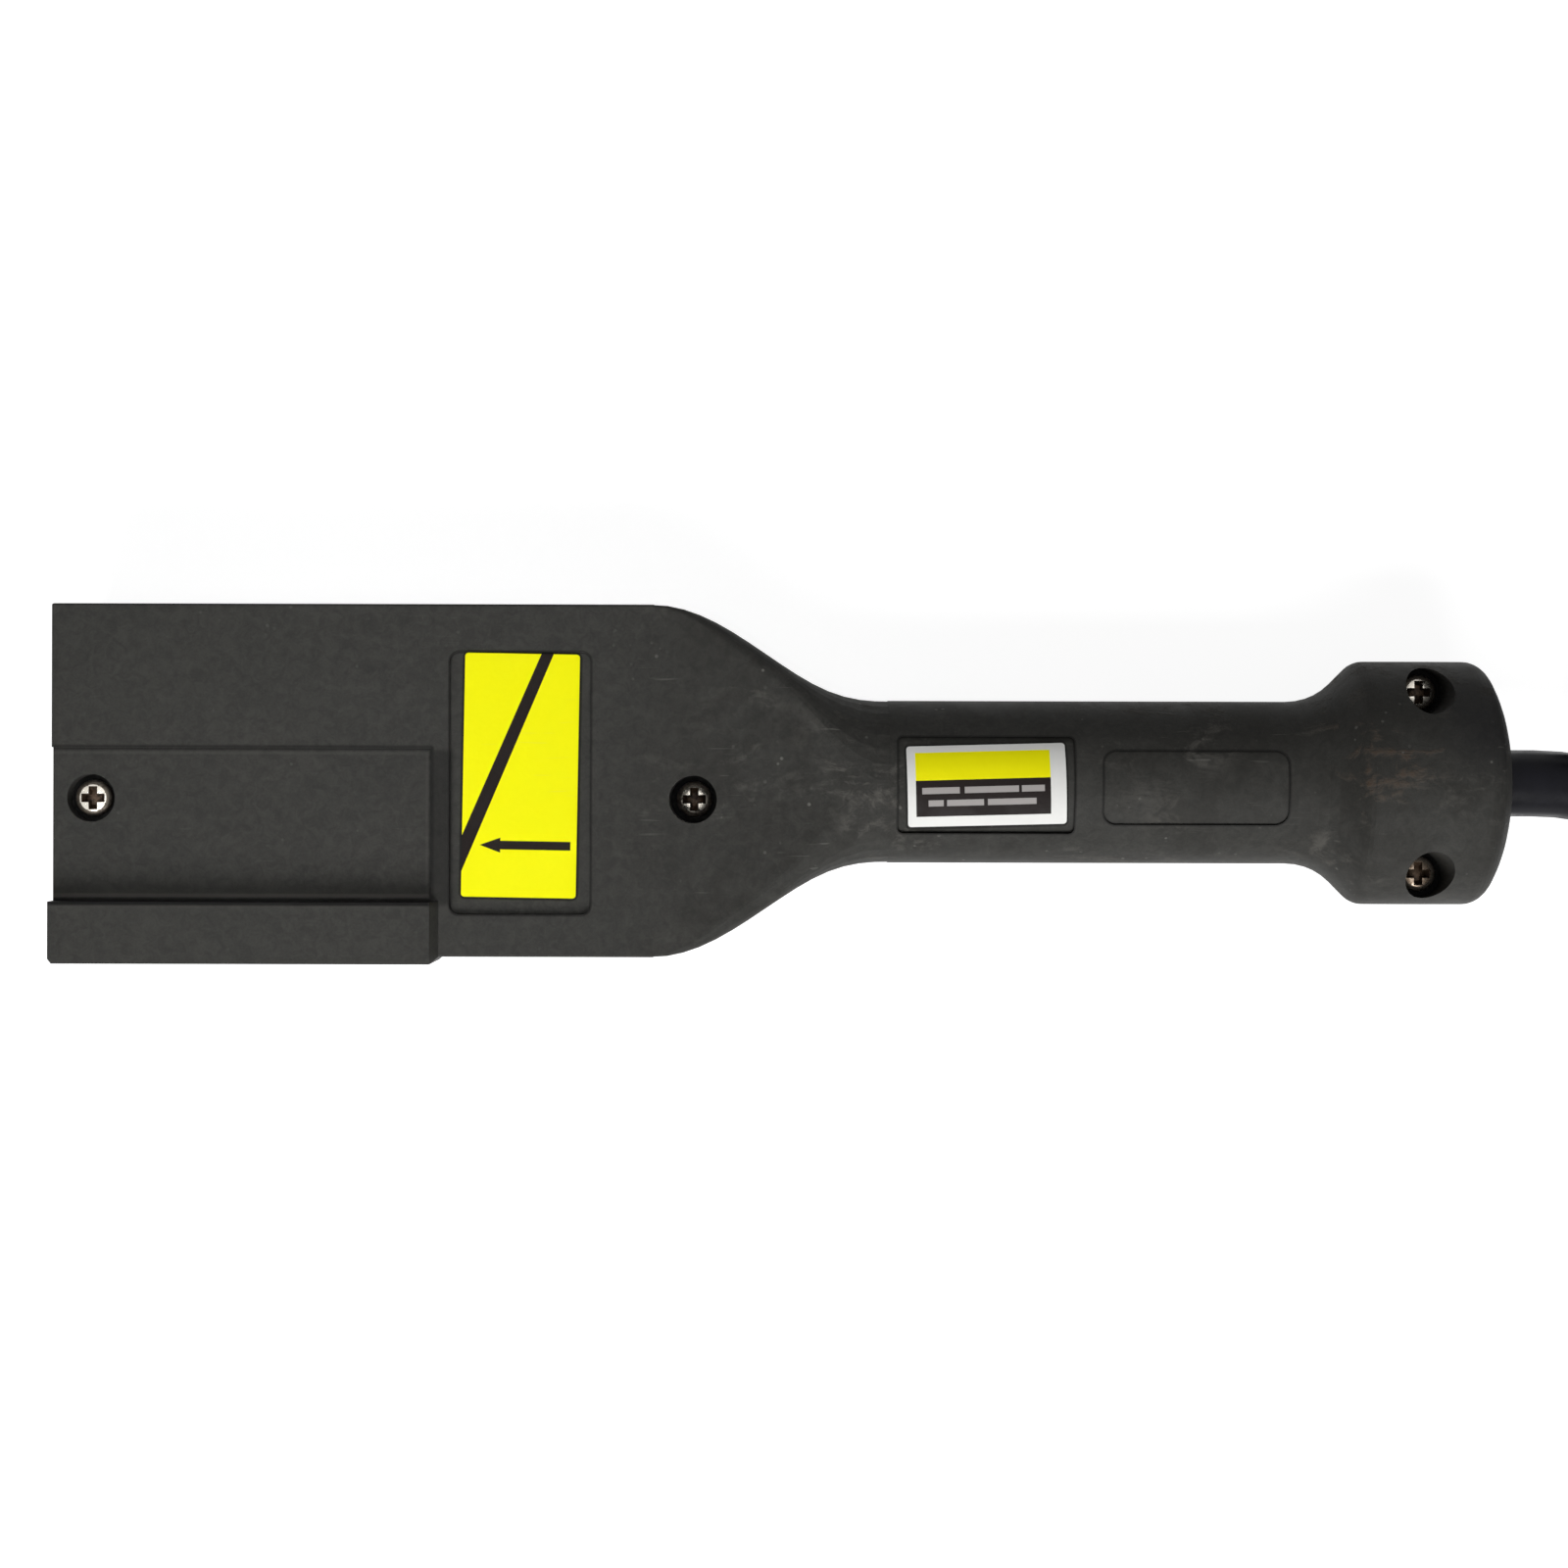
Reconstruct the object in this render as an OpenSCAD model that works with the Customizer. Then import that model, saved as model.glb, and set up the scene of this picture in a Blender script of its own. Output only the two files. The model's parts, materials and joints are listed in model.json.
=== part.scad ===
// Charging cord with a clamshell plug handle.
// The nose of the handle points to -X, the cord leaves along +X and the
// labelled face looks up. The handle lies on its back on the plane z = 0.

/* [Handle] */
// Length of the handle, from the nose to the tip of the cord end
handle_len = 262.4; // [250:0.2:280]
// Width of the flat paddle
paddle_w = 63.3; // [60:0.1:68]
// Length of the paddle, from the nose to the start of the neck
paddle_len = 108; // [105:0.5:115]
// Length of the neck that blends the paddle into the grip
neck_len = 42.4; // [36:0.2:46]
// How far the neck's narrowing leans towards the grip
neck_lean = 0.6; // [0:0.05:0.8]
// Height of the paddle's face above the parting plane
face_rise = 12.5; // [11.5:0.25:13.5]
// Diameter of the grip
grip_dia = 29.7; // [28:0.1:31]
// Diameter of the swollen cord end
end_dia = 44.5; // [43:0.25:46]
// Length of the cord end, from its shoulder fillet to its tip
end_len = 39.1; // [36:0.1:44]
// Wall thickness of both shells
wall = 3; // [2.6:0.1:3.4]
// Edge radius round the paddle
edge_r = 0.5; // [0.4:0.1:1.2]
// Growth of the edge radius along the neck's flank
flank_r = 3.5; // [2.5:0.25:4.5]
// Radius of the concave fillet in front of the cord end
shoulder_r = 12; // [8:0.2:13]
// Radius of the convex edge behind that fillet
brow_r = 4; // [3:0.25:5]
// Radius of the flat face at the tip
tip_face_r = 8; // [7.5:0.25:9]
// Radius of the crown round that face
crown_r = 24; // [22:0.5:30]
// Radius of the corner between crown and barrel
corner_r = 4.2; // [3.4:0.2:5]

/* [Key plate and rail] */
// Length of the sunk plate and of the rail beside it
key_len = 68.2; // [64:0.1:72]
// Depth of the sunk plate below the paddle's face
plate_sink = 1.6; // [1:0.1:1.8]
// Distance of the plate's upper wall from the handle's axis
plate_top_y = 5.8; // [5.2:0.1:6.4]
// Distance of the rail's inner wall from the handle's axis
rail_y = 21.8; // [21.2:0.1:22.4]
// Height of the rail above the paddle's face
rail_rise = 2.9; // [2:0.1:3.5]
// How far the rail stands out of the paddle's side
rail_proud = 1.2; // [0.6:0.1:1.6]

/* [Label seats] */
// Length of the engagement label's pocket along the handle
label_pocket_l = 25.4; // [24:0.2:27]
// Width of the engagement label's pocket
label_pocket_w = 47.2; // [46:0.2:50]
// Distance from the nose to the middle of that pocket
label_from_nose = 84.1; // [83:0.1:86]
// Depth of that pocket
label_pocket_depth = 1; // [0.6:0.1:1.4]
// Length of the engagement label along the handle
label_l = 20.5; // [19:0.1:21.5]
// Width of the engagement label
label_w = 43.8; // [42:0.1:44.5]
// Thickness of both labels
label_thick = 0.3; // [0.2:0.05:0.4]
// Length of the pocket for the plate label on the grip
plate_pocket_l = 31.7; // [31:0.1:33]
// Width of that pocket
plate_pocket_w = 17.4; // [17:0.1:18.5]
// Depth of that pocket
plate_pocket_depth = 0.7; // [0.5:0.1:1]
// Length of the plate label
plate_label_l = 28.4; // [27.5:0.1:29]
// Width of the plate label
plate_label_w = 14.4; // [13.5:0.1:15]
// Length of the second pocket on the grip, which is left bare
panel_l = 33.3; // [30:0.1:36]
// Width of the bare pocket
panel_w = 13.3; // [12:0.1:15]
// Depth of the bare pocket
panel_sink = 0.4; // [0.2:0.05:0.7]
// Corner radius of the bare pocket
panel_r = 2.4; // [1.5:0.1:3.5]
// Corner radius of the plate label's pocket
plate_pocket_r = 1; // [0.6:0.1:2]

/* [Screws] */
// Distance of the nose and neck screws from the axis, towards the rail
screw_off = 3.3; // [2.8:0.1:3.8]
// Distance of the nose screw from the nose
nose_screw_in = 6.8; // [6.4:0.1:7.4]
// Distance of the neck screw from the start of the neck
neck_screw_in = 7.1; // [5:0.1:9]
// Half the distance between the two clamp screws
clamp_screw_y = 16.5; // [16:0.1:16.8]
// Distance of the clamp screws from the tip of the cord end
clamp_screw_in = 15.6; // [14.6:0.1:17]
// Diameter of the counterbores
counterbore_dia = 8.6; // [8:0.1:9]
// Diameter of the screw heads
head_dia = 6.5; // [6:0.1:7]
// Height of the screw heads
head_h = 2.4; // [2:0.1:2.6]
// Diameter of the screws over their thread
screw_dia = 3.5; // [3:0.1:3.7]
// Length of the nose and neck screws under the head
long_screw = 19; // [17:0.5:20]
// Length of the clamp screws under the head
clamp_screw = 14; // [12:0.5:14.5]
// Height of the sunk screw heads' seats above the parting plane
seat_rise = 2.8; // [2.4:0.1:3.4]
// Depth of the nose screw's head below the sunk plate
nose_head_sink = 1.2; // [0.8:0.1:1.8]

/* [Contacts] */
// Distance between the two blade slots in the nose
slot_pitch = 38; // [36:0.5:38.5]
// Width of a blade slot
slot_w = 7; // [6:0.1:7.4]
// Height of a blade slot
slot_h = 20; // [18:0.5:20.5]
// Width of the sense slot
sense_slot_w = 7.2; // [6.6:0.1:7.6]
// Height of the sense slot
sense_slot_h = 5; // [4.6:0.1:5.6]
// Thickness of the blade that a contact takes
blade_thick = 3.2; // [2.8:0.1:3.4]
// Thickness of the contact strip
strip = 1.2; // [1:0.1:1.3]
// Height of a contact's leaves
leaf_h = 17; // [15:0.5:17.5]
// Length of a contact's leaves
leaf_len = 30; // [28:0.5:32]
// Length of the crimp barrels
barrel_len = 12; // [10:0.5:14]
// Distance of the contacts' mouths behind the nose
mouth_in = 6; // [5.5:0.1:7]

/* [Cord] */
// Diameter of the cord's jacket
cord_dia = 12.2; // [11.8:0.1:12.6]
// Diameter of the two heavy conductors with their insulation
lead_dia = 4.8; // [4.4:0.1:5]
// Diameter of the sense conductor with its insulation
sense_dia = 2.8; // [2.4:0.1:3]
// Length of the straight runs of the hank
hank_run = 104; // [100:1:120]
// Width of the hank's ties
tie_w = 12; // [8:1:16]
// Thickness of the hank's ties
tie_thick = 1; // [0.8:0.1:1.4]
// Length of the sleeve where the conductors leave the jacket
sleeve_len = 32; // [26:1:38]
// Diameter of that sleeve
sleeve_dia = 14; // [13.6:0.1:14.6]
// Stud that the ring terminals take
stud_dia = 5; // [4:0.1:5.2]
// Outer diameter of the ring terminals
ring_dia = 11; // [10:0.1:12]
// Thickness of the terminals' metal
ring_thick = 1.2; // [1:0.1:1.4]

/* [Hidden] */

// Fine circles where a surface shows, and the overlap that joins pieces
$fn = 64;
join = 0.1;
// Gap between pieces that seat in one another
fit = 0.1;

axis_z = end_dia / 2;
grip_r = grip_dia / 2;
end_r = end_dia / 2;
nose_x = -handle_len / 2;
tip_x = handle_len / 2;
neck_x = nose_x + paddle_len;
grip_x = neck_x + neck_len;
end_x = tip_x - end_len;
face_z = axis_z + face_rise;
paddle_r = paddle_w / 2;

// Where the tip's crown turns into its corner, and how long both are
tip_turn = asin((end_r - corner_r - tip_face_r) / (crown_r - corner_r));
tip_len = crown_r - (crown_r - corner_r) * cos(tip_turn);

// Screws: places and seats
screw_y = -screw_off;
nose_screw_x = nose_x + nose_screw_in;
neck_screw_x = neck_x + neck_screw_in;
clamp_screw_x = tip_x - clamp_screw_in;
plate_z = face_z - plate_sink;
nose_seat_z = plate_z - nose_head_sink - head_h;
seat_z = axis_z + seat_rise;
boss_wall = 2;
boss_r = counterbore_dia / 2 + boss_wall;
pillar_r = screw_dia / 2 + 2.7;
screw_gap = 0.05;
screw_hole = screw_dia + 2 * screw_gap;
through_hole = screw_dia + 0.5;
tip_gap = 0.8;

// Contacts: places
positive_y = screw_y + slot_pitch / 2;
negative_y = screw_y - slot_pitch / 2;
sense_y = screw_y + 9.7;
mouth_x = nose_x + mouth_in;
slot_mid_z = axis_z - 2.75;
sense_z = axis_z - 10.25;
leaf_half = blade_thick / 2 + strip;
barrel_r = lead_dia / 2 + fit + strip;
sense_strip = 0.8;
sense_w = 6;
sense_h = sense_dia + 2 * fit + 2 * sense_strip;
sense_len = 14;
cradle_thick = 2;
cradle_at = [6, 15.5, 24];

// Cord clamp and jacket
cord_r = cord_dia / 2;
saddle_thick = 4;
saddle_at = [8.8, 22.4];
jacket_x = end_x - 8;
lead_spread = 2.8;
lead_rise = 1;
sense_drop = 3.6;

// The hank is two turns wide and three turns high, on its ties
fold_r = 3 * cord_dia;
hank_x = tip_x + 74;
hank_y = 22;
hank_high = 3 * cord_dia;
hank_in = fold_r - cord_r;
hank_out = fold_r + 1.5 * cord_dia;
tail_x = hank_x + hank_run + 37;
tail_y = hank_y - fold_r - cord_dia;

// The cord's route from the handle to the hank, measured from the handle's end
cord_route = laid(tip_x, [
    [0, 0, 22.2], [6, 0, 22.2], [12, -0.3, 22], [18, -1.3, 21.6],
    [24, -3.1, 21.1], [30, -5.9, 20.6], [36, -9.7, 20.1],
    [42, -14.7, 19.6], [48, -19.3, 19.4], [56, -23.4, 19.3]
]);

// Its route out of the hank, and the conductors' beyond the sleeve that starts at tail_x
tail_route = laid(tail_x, [
    [-46, -26.8, 7.1], [-34, -26.8, 7.1], [-22, -26.8, 7.1], [-10, -26.8, 7],
    [2, -26.8, 7], [16, -26.8, 7]
]);
far_positive_route = laid(tail_x, [
    [32, -24, 7.9], [40, -22.8, 7.4], [50, -18.8, 5.2], [60, -14, 3.4],
    [70, -9.6, 2.6], [81, -5.8, 2.8], [92, -4, 3.4], [98, -4, 3.4]
]);
far_negative_route = laid(tail_x, [
    [32, -29.6, 7.9], [40, -29.8, 7.2], [49, -29.4, 5], [59, -28, 3.2],
    [70, -26.4, 2.5], [81, -25.2, 2.8], [92, -25, 3.4], [98, -25, 3.4]
]);
far_sense_route = laid(tail_x, [
    [32, -26.8, 3.4], [40, -26, 2.4], [49, -24, 1.5], [59, -20.8, 1.4],
    [70, -17.4, 1.4], [81, -15.2, 1.7], [90, -14.5, 2.2], [95, -14.5, 2.2]
]);

// Routes of the conductors inside the handle, from barrel to jacket
lead_in = 5;
positive_route = inner_route([mouth_x + leaf_len + lead_in, positive_y, slot_mid_z],
                             [jacket_x, lead_spread, axis_z + lead_rise], 0.06, 0.76);
negative_route = inner_route([mouth_x + leaf_len + lead_in, negative_y, slot_mid_z],
                             [jacket_x, -lead_spread, axis_z + lead_rise], 0.08, 0.76);
sense_route = inner_route([mouth_x + sense_len + lead_in, sense_y, sense_z],
                          [jacket_x, 0, axis_z - sense_drop], 0.3, 0.84);

// Smooth step from 0 to 1, and a straight blend between two values
function smooth(t) = let (s = max(0, min(1, t))) s * s * (3 - 2 * s);
function blend(a, b, t) = a + (b - a) * t;
function unit(v) = v / norm(v);

// A route's points set off along x, and a route that turns between two shares of its way
function laid(from, points) = [for (p = points) p + [from, 0, 0]];
function inner_route(from, to, turn_at, straight_at) = [
    for (k = [0:16])
        let (t = k / 16, s = smooth((t - turn_at) / (straight_at - turn_at)))
            [blend(from[0], to[0], t), blend(from[1], to[1], s), blend(from[2], to[2], s)]
];

// Points of an arc in the plane
function arc(mid, r, from, to, steps) = [
    for (k = [0:steps]) let (a = blend(from, to, k / steps))
        mid + [r[0] * cos(a), r[1] * sin(a)]
];

// One cross-section of the neck, as a rounded rectangle around the axis.
// t runs from 0 at the paddle to 1 at the grip, and inset is the wall taken off.
function neck_section(t, inset, steps) =
    let (
        s = smooth(t + neck_lean * pow(t, 3) * (1 - t)),
        w = blend(paddle_r, grip_r, s) - inset,
        up = blend(face_rise, grip_r, s) - inset,
        down = blend(axis_z, grip_r, s) - inset,
        edge = edge_r + flank_r * smooth(t / 0.45)
            + (grip_r - edge_r - flank_r) * smooth((t - 0.5) / 0.5),
        r = min(max(edge - inset, 0.5), min(w, up) - 0.15)
    )
    [
        for (c = [0:3], k = [0:steps])
            let (
                a = 90 * (c + k / steps),
                y = (c == 0 || c == 3) ? w - r : r - w,
                z = c < 2 ? up - r : r - down
            )
            [neck_x + neck_len * t, y + r * cos(a), axis_z + z + r * sin(a)]
    ];

// A closed skin over a list of rings that have the same number of points
module skin(rings) {
    n = len(rings[0]);
    last = len(rings) - 1;
    polyhedron(
        points = [for (ring = rings) each ring],
        faces = [
            [for (j = [0:n - 1]) j],
            [for (j = [n - 1:-1:0]) last * n + j],
            for (i = [0:last - 1], j = [0:n - 1])
                let (k = (j + 1) % n)
                    each [[i * n + j, (i + 1) * n + j, (i + 1) * n + k],
                          [i * n + j, (i + 1) * n + k, i * n + k]]
        ]
    );
}

// A tube swept along a route
module tube(route, dia, sides = 8) {
    last = len(route) - 1;
    skin([
        for (i = [0:last])
            let (
                dir = unit(route[min(i + 1, last)] - route[max(i - 1, 0)]),
                side = unit(cross(dir, [0, 0, 1])),
                up = cross(side, dir)
            )
            [for (k = [0:sides - 1])
                let (a = -360 * (k + 0.5) / sides)
                    route[i] + dia / 2 * (side * cos(a) + up * sin(a))]
    ]);
}

// Places a solid that is turned round Z on the handle's axis, from x onwards
module on_axis(x) {
    translate([x, 0, axis_z]) rotate([0, 90, 0]) children();
}

// Extrudes a flat shape along X, with its own axes on Y and Z
module extrude_x(x, length) {
    translate([x, 0, 0]) rotate([90, 0, 90]) linear_extrude(length) children();
}

// Extrudes a flat shape along Y, with its own axes on X and Z
module extrude_y(y, length) {
    translate([0, y + length, 0]) rotate([90, 0, 0]) linear_extrude(length) children();
}

// A rectangle with round corners, between two opposite corners
module rounded(low, high, r) {
    size = high - low;
    translate(low) {
        translate([r, 0]) square([size[0] - 2 * r, size[1]]);
        translate([0, r]) square([size[0], size[1] - 2 * r]);
        for (x = [r, size[0] - r], y = [r, size[1] - r])
            translate([x, y]) circle(r);
    }
}

// Flat paddle, with all its edges rounded
module paddle_block(inset) {
    low = [nose_x + inset, -paddle_r + inset, inset];
    high = [neck_x + 2, paddle_r - inset, face_z - inset];
    r = edge_r;
    intersection() {
        extrude_x(low[0], neck_x - low[0])
            rounded([low[1], low[2]], [high[1], high[2]], r);
        translate([0, 0, low[2]]) linear_extrude(high[2] - low[2])
            rounded([low[0], low[1]], [high[0], high[1]], r);
        extrude_y(low[1], high[1] - low[1])
            rounded([low[0], low[2]], [high[0], high[2]], r);
    }
}

// Neck, lofted from the paddle's rectangle to the grip's circle. Its ends
// reach into both neighbours, a hair inside their surfaces.
module neck_loft(inset, rings, steps) {
    skin([
        for (i = [0:rings])
            let (t = blend(-0.4, neck_len + 0.6, i / rings) / neck_len)
                neck_section(t, inset + blend(0.05, 0.12, t), steps)
    ]);
}

// Swollen cord end: shoulder fillet, cone, brow, barrel and rounded tip
module cord_end_form() {
    cone = end_r - grip_r - (shoulder_r + brow_r) * (1 - cos(45));
    cone_x = shoulder_r * sin(45);
    brow_x = cone_x + cone;
    on_axis(end_x) rotate_extrude() polygon(concat(
        [[0, -1], [grip_r, -1]],
        [for (p = arc([0, 0], [shoulder_r, shoulder_r], 0, 45, 5))
            [grip_r + shoulder_r - p[0], p[1]]],
        [for (p = arc([0, 0], [brow_r, brow_r], 45, 0, 4))
            [end_r - brow_r + p[0], brow_x + brow_r * sin(45) - p[1]]],
        arc([end_r - corner_r, end_len - tip_len], [corner_r, corner_r], 0, 90 - tip_turn, 5),
        arc([tip_face_r, end_len - crown_r], [crown_r, crown_r], 90 - tip_turn, 90, 6),
        [[cord_r, end_len], [0, end_len]]
    ));
}

// Space inside the cord end
module cord_end_space() {
    inner = end_r - wall;
    neck = grip_r - wall;
    on_axis(end_x) rotate_extrude() polygon([
        [0, -1], [neck, -1], [neck, 3], [inner, 3 + inner - neck],
        [inner, end_len - tip_len], [tip_face_r + 1, end_len - wall - 1.2],
        [tip_face_r, end_len - wall], [0, end_len - wall]
    ]);
}

// Outside of the whole handle
module handle_form() {
    paddle_block(0);
    neck_loft(0, 15, 8);
    on_axis(grip_x) cylinder(r = grip_r, h = end_x - grip_x);
    cord_end_form();
}

// Hollow inside of the whole handle
module handle_space() {
    paddle_block(wall);
    neck_loft(wall, 9, 5);
    on_axis(grip_x) cylinder(r = grip_r - wall, h = end_x - grip_x);
    cord_end_space();
}

// The half of space above or below the parting plane
module above() {
    translate([nose_x - 10, -paddle_w, axis_z]) cube([handle_len + 20, 2 * paddle_w, end_dia]);
}
module below() {
    translate([nose_x - 10, -paddle_w, -10]) cube([handle_len + 20, 2 * paddle_w, axis_z + 10]);
}

// Calls its children at each screw, as [x, y]
module at_screws() {
    for (p = [[nose_screw_x, screw_y], [neck_screw_x, screw_y],
              [clamp_screw_x, clamp_screw_y], [clamp_screw_x, -clamp_screw_y]])
        translate([p[0], p[1], 0]) children();
}

// Cross ribs that cradle the contacts, in one half of the paddle
module cradle_ribs(low_z, high_z) {
    notch = 2 * (leaf_half + fit);
    for (at = cradle_at)
        difference() {
            translate([mouth_x + at, -paddle_r + wall - join, low_z])
                cube([cradle_thick, paddle_w - 2 * wall + 2 * join, high_z - low_z]);
            for (y = [positive_y, negative_y])
                translate([mouth_x + at - 1, y - notch / 2, slot_mid_z - leaf_h / 2 - fit])
                    cube([cradle_thick + 2, notch, leaf_h + 2 * fit]);
            translate([mouth_x + at - 1, sense_y - sense_w / 2 - fit, sense_z - sense_h / 2 - fit])
                cube([cradle_thick + 2, sense_w + 2 * fit, axis_z]);
        }
}

// Cross ribs in the grip, open in the middle for the conductors
module grip_ribs() {
    pass_r = 8;
    pitch = (end_x - grip_x) / 3;
    for (k = [0:2])
        on_axis(grip_x + (k + 0.2) * pitch)
            difference() {
                cylinder(r = grip_r - wall + join, h = cradle_thick);
                translate([0, 0, -1]) cylinder(r = pass_r, h = cradle_thick + 2);
            }
}

// Saddles that clamp the jacket in the cord end
module saddles() {
    for (at = saddle_at)
        on_axis(tip_x - at)
            difference() {
                cylinder(r = end_r - wall + join, h = saddle_thick);
                translate([0, 0, -1]) cylinder(r = cord_r + screw_gap, h = saddle_thick + 2);
            }
}

// Slots in the nose for the two blades and the sense blade
module nose_slots() {
    through = mouth_in + 2;
    for (y = [positive_y, negative_y])
        translate([nose_x - 1, y - slot_w / 2, slot_mid_z - slot_h / 2])
            cube([through, slot_w, slot_h]);
    translate([nose_x - 1, sense_y - sense_slot_w / 2, sense_z - sense_slot_h / 2])
        cube([through, sense_slot_w, sense_slot_h]);
}

// Hole that the cord leaves through
module cord_hole() {
    on_axis(tip_x - wall - 2) cylinder(r = cord_r + 0.15, h = wall + 4);
}

// Rail that stands beside the sunk plate and wraps over the paddle's side
module rail() {
    end_slope = 1.3;
    nip = 0.8;
    side = paddle_r + rail_proud;
    intersection() {
        extrude_y(-side, side - rail_y)
            polygon([
                [nose_x - 0.1, axis_z], [nose_x - 0.1, face_z + rail_rise - nip],
                [nose_x + nip - 0.1, face_z + rail_rise],
                [nose_x + key_len, face_z + rail_rise],
                [nose_x + key_len + end_slope, face_z],
                [nose_x + key_len + end_slope, axis_z]
            ]);
        translate([0, 0, axis_z - 1]) linear_extrude(face_rise + rail_rise + 2)
            polygon([
                [nose_x - 1, -rail_y], [nose_x - 1, -side + 2 * nip],
                [nose_x + nip, -side],
                [nose_x + key_len, -side], [nose_x + key_len + end_slope, -side + rail_proud],
                [nose_x + key_len + end_slope, -rail_y]
            ]);
    }
}

// Pocket or label that follows the round grip: a slice between two radii
module grip_slice(from_x, length, low_y, width, inner, outer, corner) {
    intersection() {
        on_axis(from_x) difference() {
            cylinder(r = outer, h = length);
            translate([0, 0, -1]) cylinder(r = inner, h = length + 2);
        }
        translate([0, 0, axis_z]) linear_extrude(grip_r + 5)
            rounded([from_x, low_y], [from_x + length, low_y + width], corner);
    }
}

// Places of the label pockets, and of the bare one, on the grip
label_x = nose_x + label_from_nose;
label_y = -0.5;
plate_x = grip_x + 1.4;
plate_y = -0.6;
panel_x = plate_x + plate_pocket_l + 5;
panel_y = -1;

// Upper half of the handle: face, key plate, rail, label seats and screw bosses
module upper_shell() {
    color([0.22, 0.22, 0.21])
    difference() {
        union() {
            difference() {
                union() {
                    intersection() { handle_form(); above(); }
                    rail();
                }
                handle_space();
            }
            intersection() {
                handle_form();
                above();
                union() {
                    at_screws() translate([0, 0, axis_z]) cylinder(r = boss_r, h = end_dia);
                    cradle_ribs(axis_z, face_z - wall + join);
                    grip_ribs();
                    saddles();
                }
            }
        }
        translate([nose_x - 1, -rail_y, plate_z])
            cube([key_len + 1, plate_top_y + rail_y, face_rise]);
        translate([0, 0, face_z - label_pocket_depth]) linear_extrude(face_rise)
            rounded([label_x - label_pocket_l / 2, label_y - label_pocket_w / 2],
                    [label_x + label_pocket_l / 2, label_y + label_pocket_w / 2], 1.8);
        grip_slice(plate_x, plate_pocket_l, plate_y - plate_pocket_w / 2, plate_pocket_w,
                   grip_r - plate_pocket_depth, grip_r + 3, plate_pocket_r);
        grip_slice(panel_x, panel_l, panel_y - panel_w / 2, panel_w,
                   grip_r - panel_sink, grip_r + 3, panel_r);
        translate([nose_screw_x, screw_y, nose_seat_z]) cylinder(d = counterbore_dia, h = end_dia);
        translate([neck_screw_x, screw_y, seat_z]) cylinder(d = counterbore_dia, h = end_dia);
        for (side = [-1, 1])
            translate([clamp_screw_x, side * clamp_screw_y, seat_z])
                cylinder(d = counterbore_dia, h = end_dia);
        at_screws() translate([0, 0, axis_z - 1]) cylinder(d = through_hole, h = end_dia);
        nose_slots();
        cord_hole();
    }
}

// Lower half of the handle, deeper under the paddle, with the screw pillars
module lower_shell() {
    color([0.2, 0.2, 0.2])
    difference() {
        union() {
            difference() {
                intersection() { handle_form(); below(); }
                handle_space();
            }
            intersection() {
                handle_form();
                below();
                union() {
                    at_screws() cylinder(r = pillar_r, h = axis_z);
                    cradle_ribs(wall - join, axis_z);
                    grip_ribs();
                    saddles();
                }
            }
        }
        screw_socket([nose_screw_x, screw_y], nose_seat_z, long_screw);
        screw_socket([neck_screw_x, screw_y], seat_z, long_screw);
        for (side = [-1, 1])
            screw_socket([clamp_screw_x, side * clamp_screw_y], seat_z, clamp_screw);
        nose_slots();
        cord_hole();
    }
}

// Hole that a screw has cut in its pillar
module screw_socket(at, seat, length) {
    bottom = seat - length - tip_gap;
    translate([at[0], at[1], bottom]) cylinder(d = screw_hole, h = axis_z - bottom + 1);
}

// Pan-head screw with a cross recess, its seat at the given point
module pan_screw(at, seat, length) {
    color([0.75, 0.74, 0.7])
    translate([at[0], at[1], seat])
    difference() {
        union() {
            rotate_extrude() polygon(concat(
                [[0, 0], [head_dia / 2, 0], [head_dia / 2, head_h * 0.4]],
                arc([0, head_h * 0.4], [head_dia / 2, head_h * 0.6], 15, 90, 6)
            ));
            translate([0, 0, -length + 2]) cylinder(d = screw_dia, h = length - 2 + join);
            translate([0, 0, -length]) cylinder(d1 = 1, d2 = screw_dia, h = 2);
        }
        for (turn = [0, 90])
            rotate(turn + 20) translate([-2, -0.4, head_h - 1.3]) cube([4, 0.8, 3]);
    }
}

module nose_screw() { pan_screw([nose_screw_x, screw_y], nose_seat_z, long_screw); }
module neck_screw() { pan_screw([neck_screw_x, screw_y], seat_z, long_screw); }
module left_clamp_screw() { pan_screw([clamp_screw_x, clamp_screw_y], seat_z, clamp_screw); }
module right_clamp_screw() { pan_screw([clamp_screw_x, -clamp_screw_y], seat_z, clamp_screw); }

// Female contact: two leaves with flared mouths, a web and a crimp barrel
module blade_contact(y) {
    back = mouth_x + leaf_len;
    flare = 0.5;
    color([0.72, 0.45, 0.28])
    translate([0, y, slot_mid_z]) {
        translate([0, 0, -leaf_h / 2]) linear_extrude(leaf_h) {
            for (side = [-1, 1])
                scale([1, side])
                    polygon([
                        [mouth_x, blade_thick / 2 + flare],
                        [mouth_x + 3, blade_thick / 2 - flare / 2],
                        [mouth_x + 6, blade_thick / 2],
                        [back, blade_thick / 2],
                        [back, leaf_half], [mouth_x + 6, leaf_half],
                        [mouth_x + 3, leaf_half - flare / 2],
                        [mouth_x, leaf_half + flare / 2]
                    ]);
            translate([back - strip, -leaf_half]) square([strip, 2 * leaf_half]);
        }
        translate([back - join, 0, 0]) rotate([0, 90, 0]) difference() {
            cylinder(r = barrel_r, h = barrel_len + join);
            translate([0, 0, 2]) cylinder(d = lead_dia + 2 * fit, h = barrel_len + 2);
        }
    }
}

module positive_contact() { blade_contact(positive_y); }
module negative_contact() { blade_contact(negative_y); }

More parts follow.
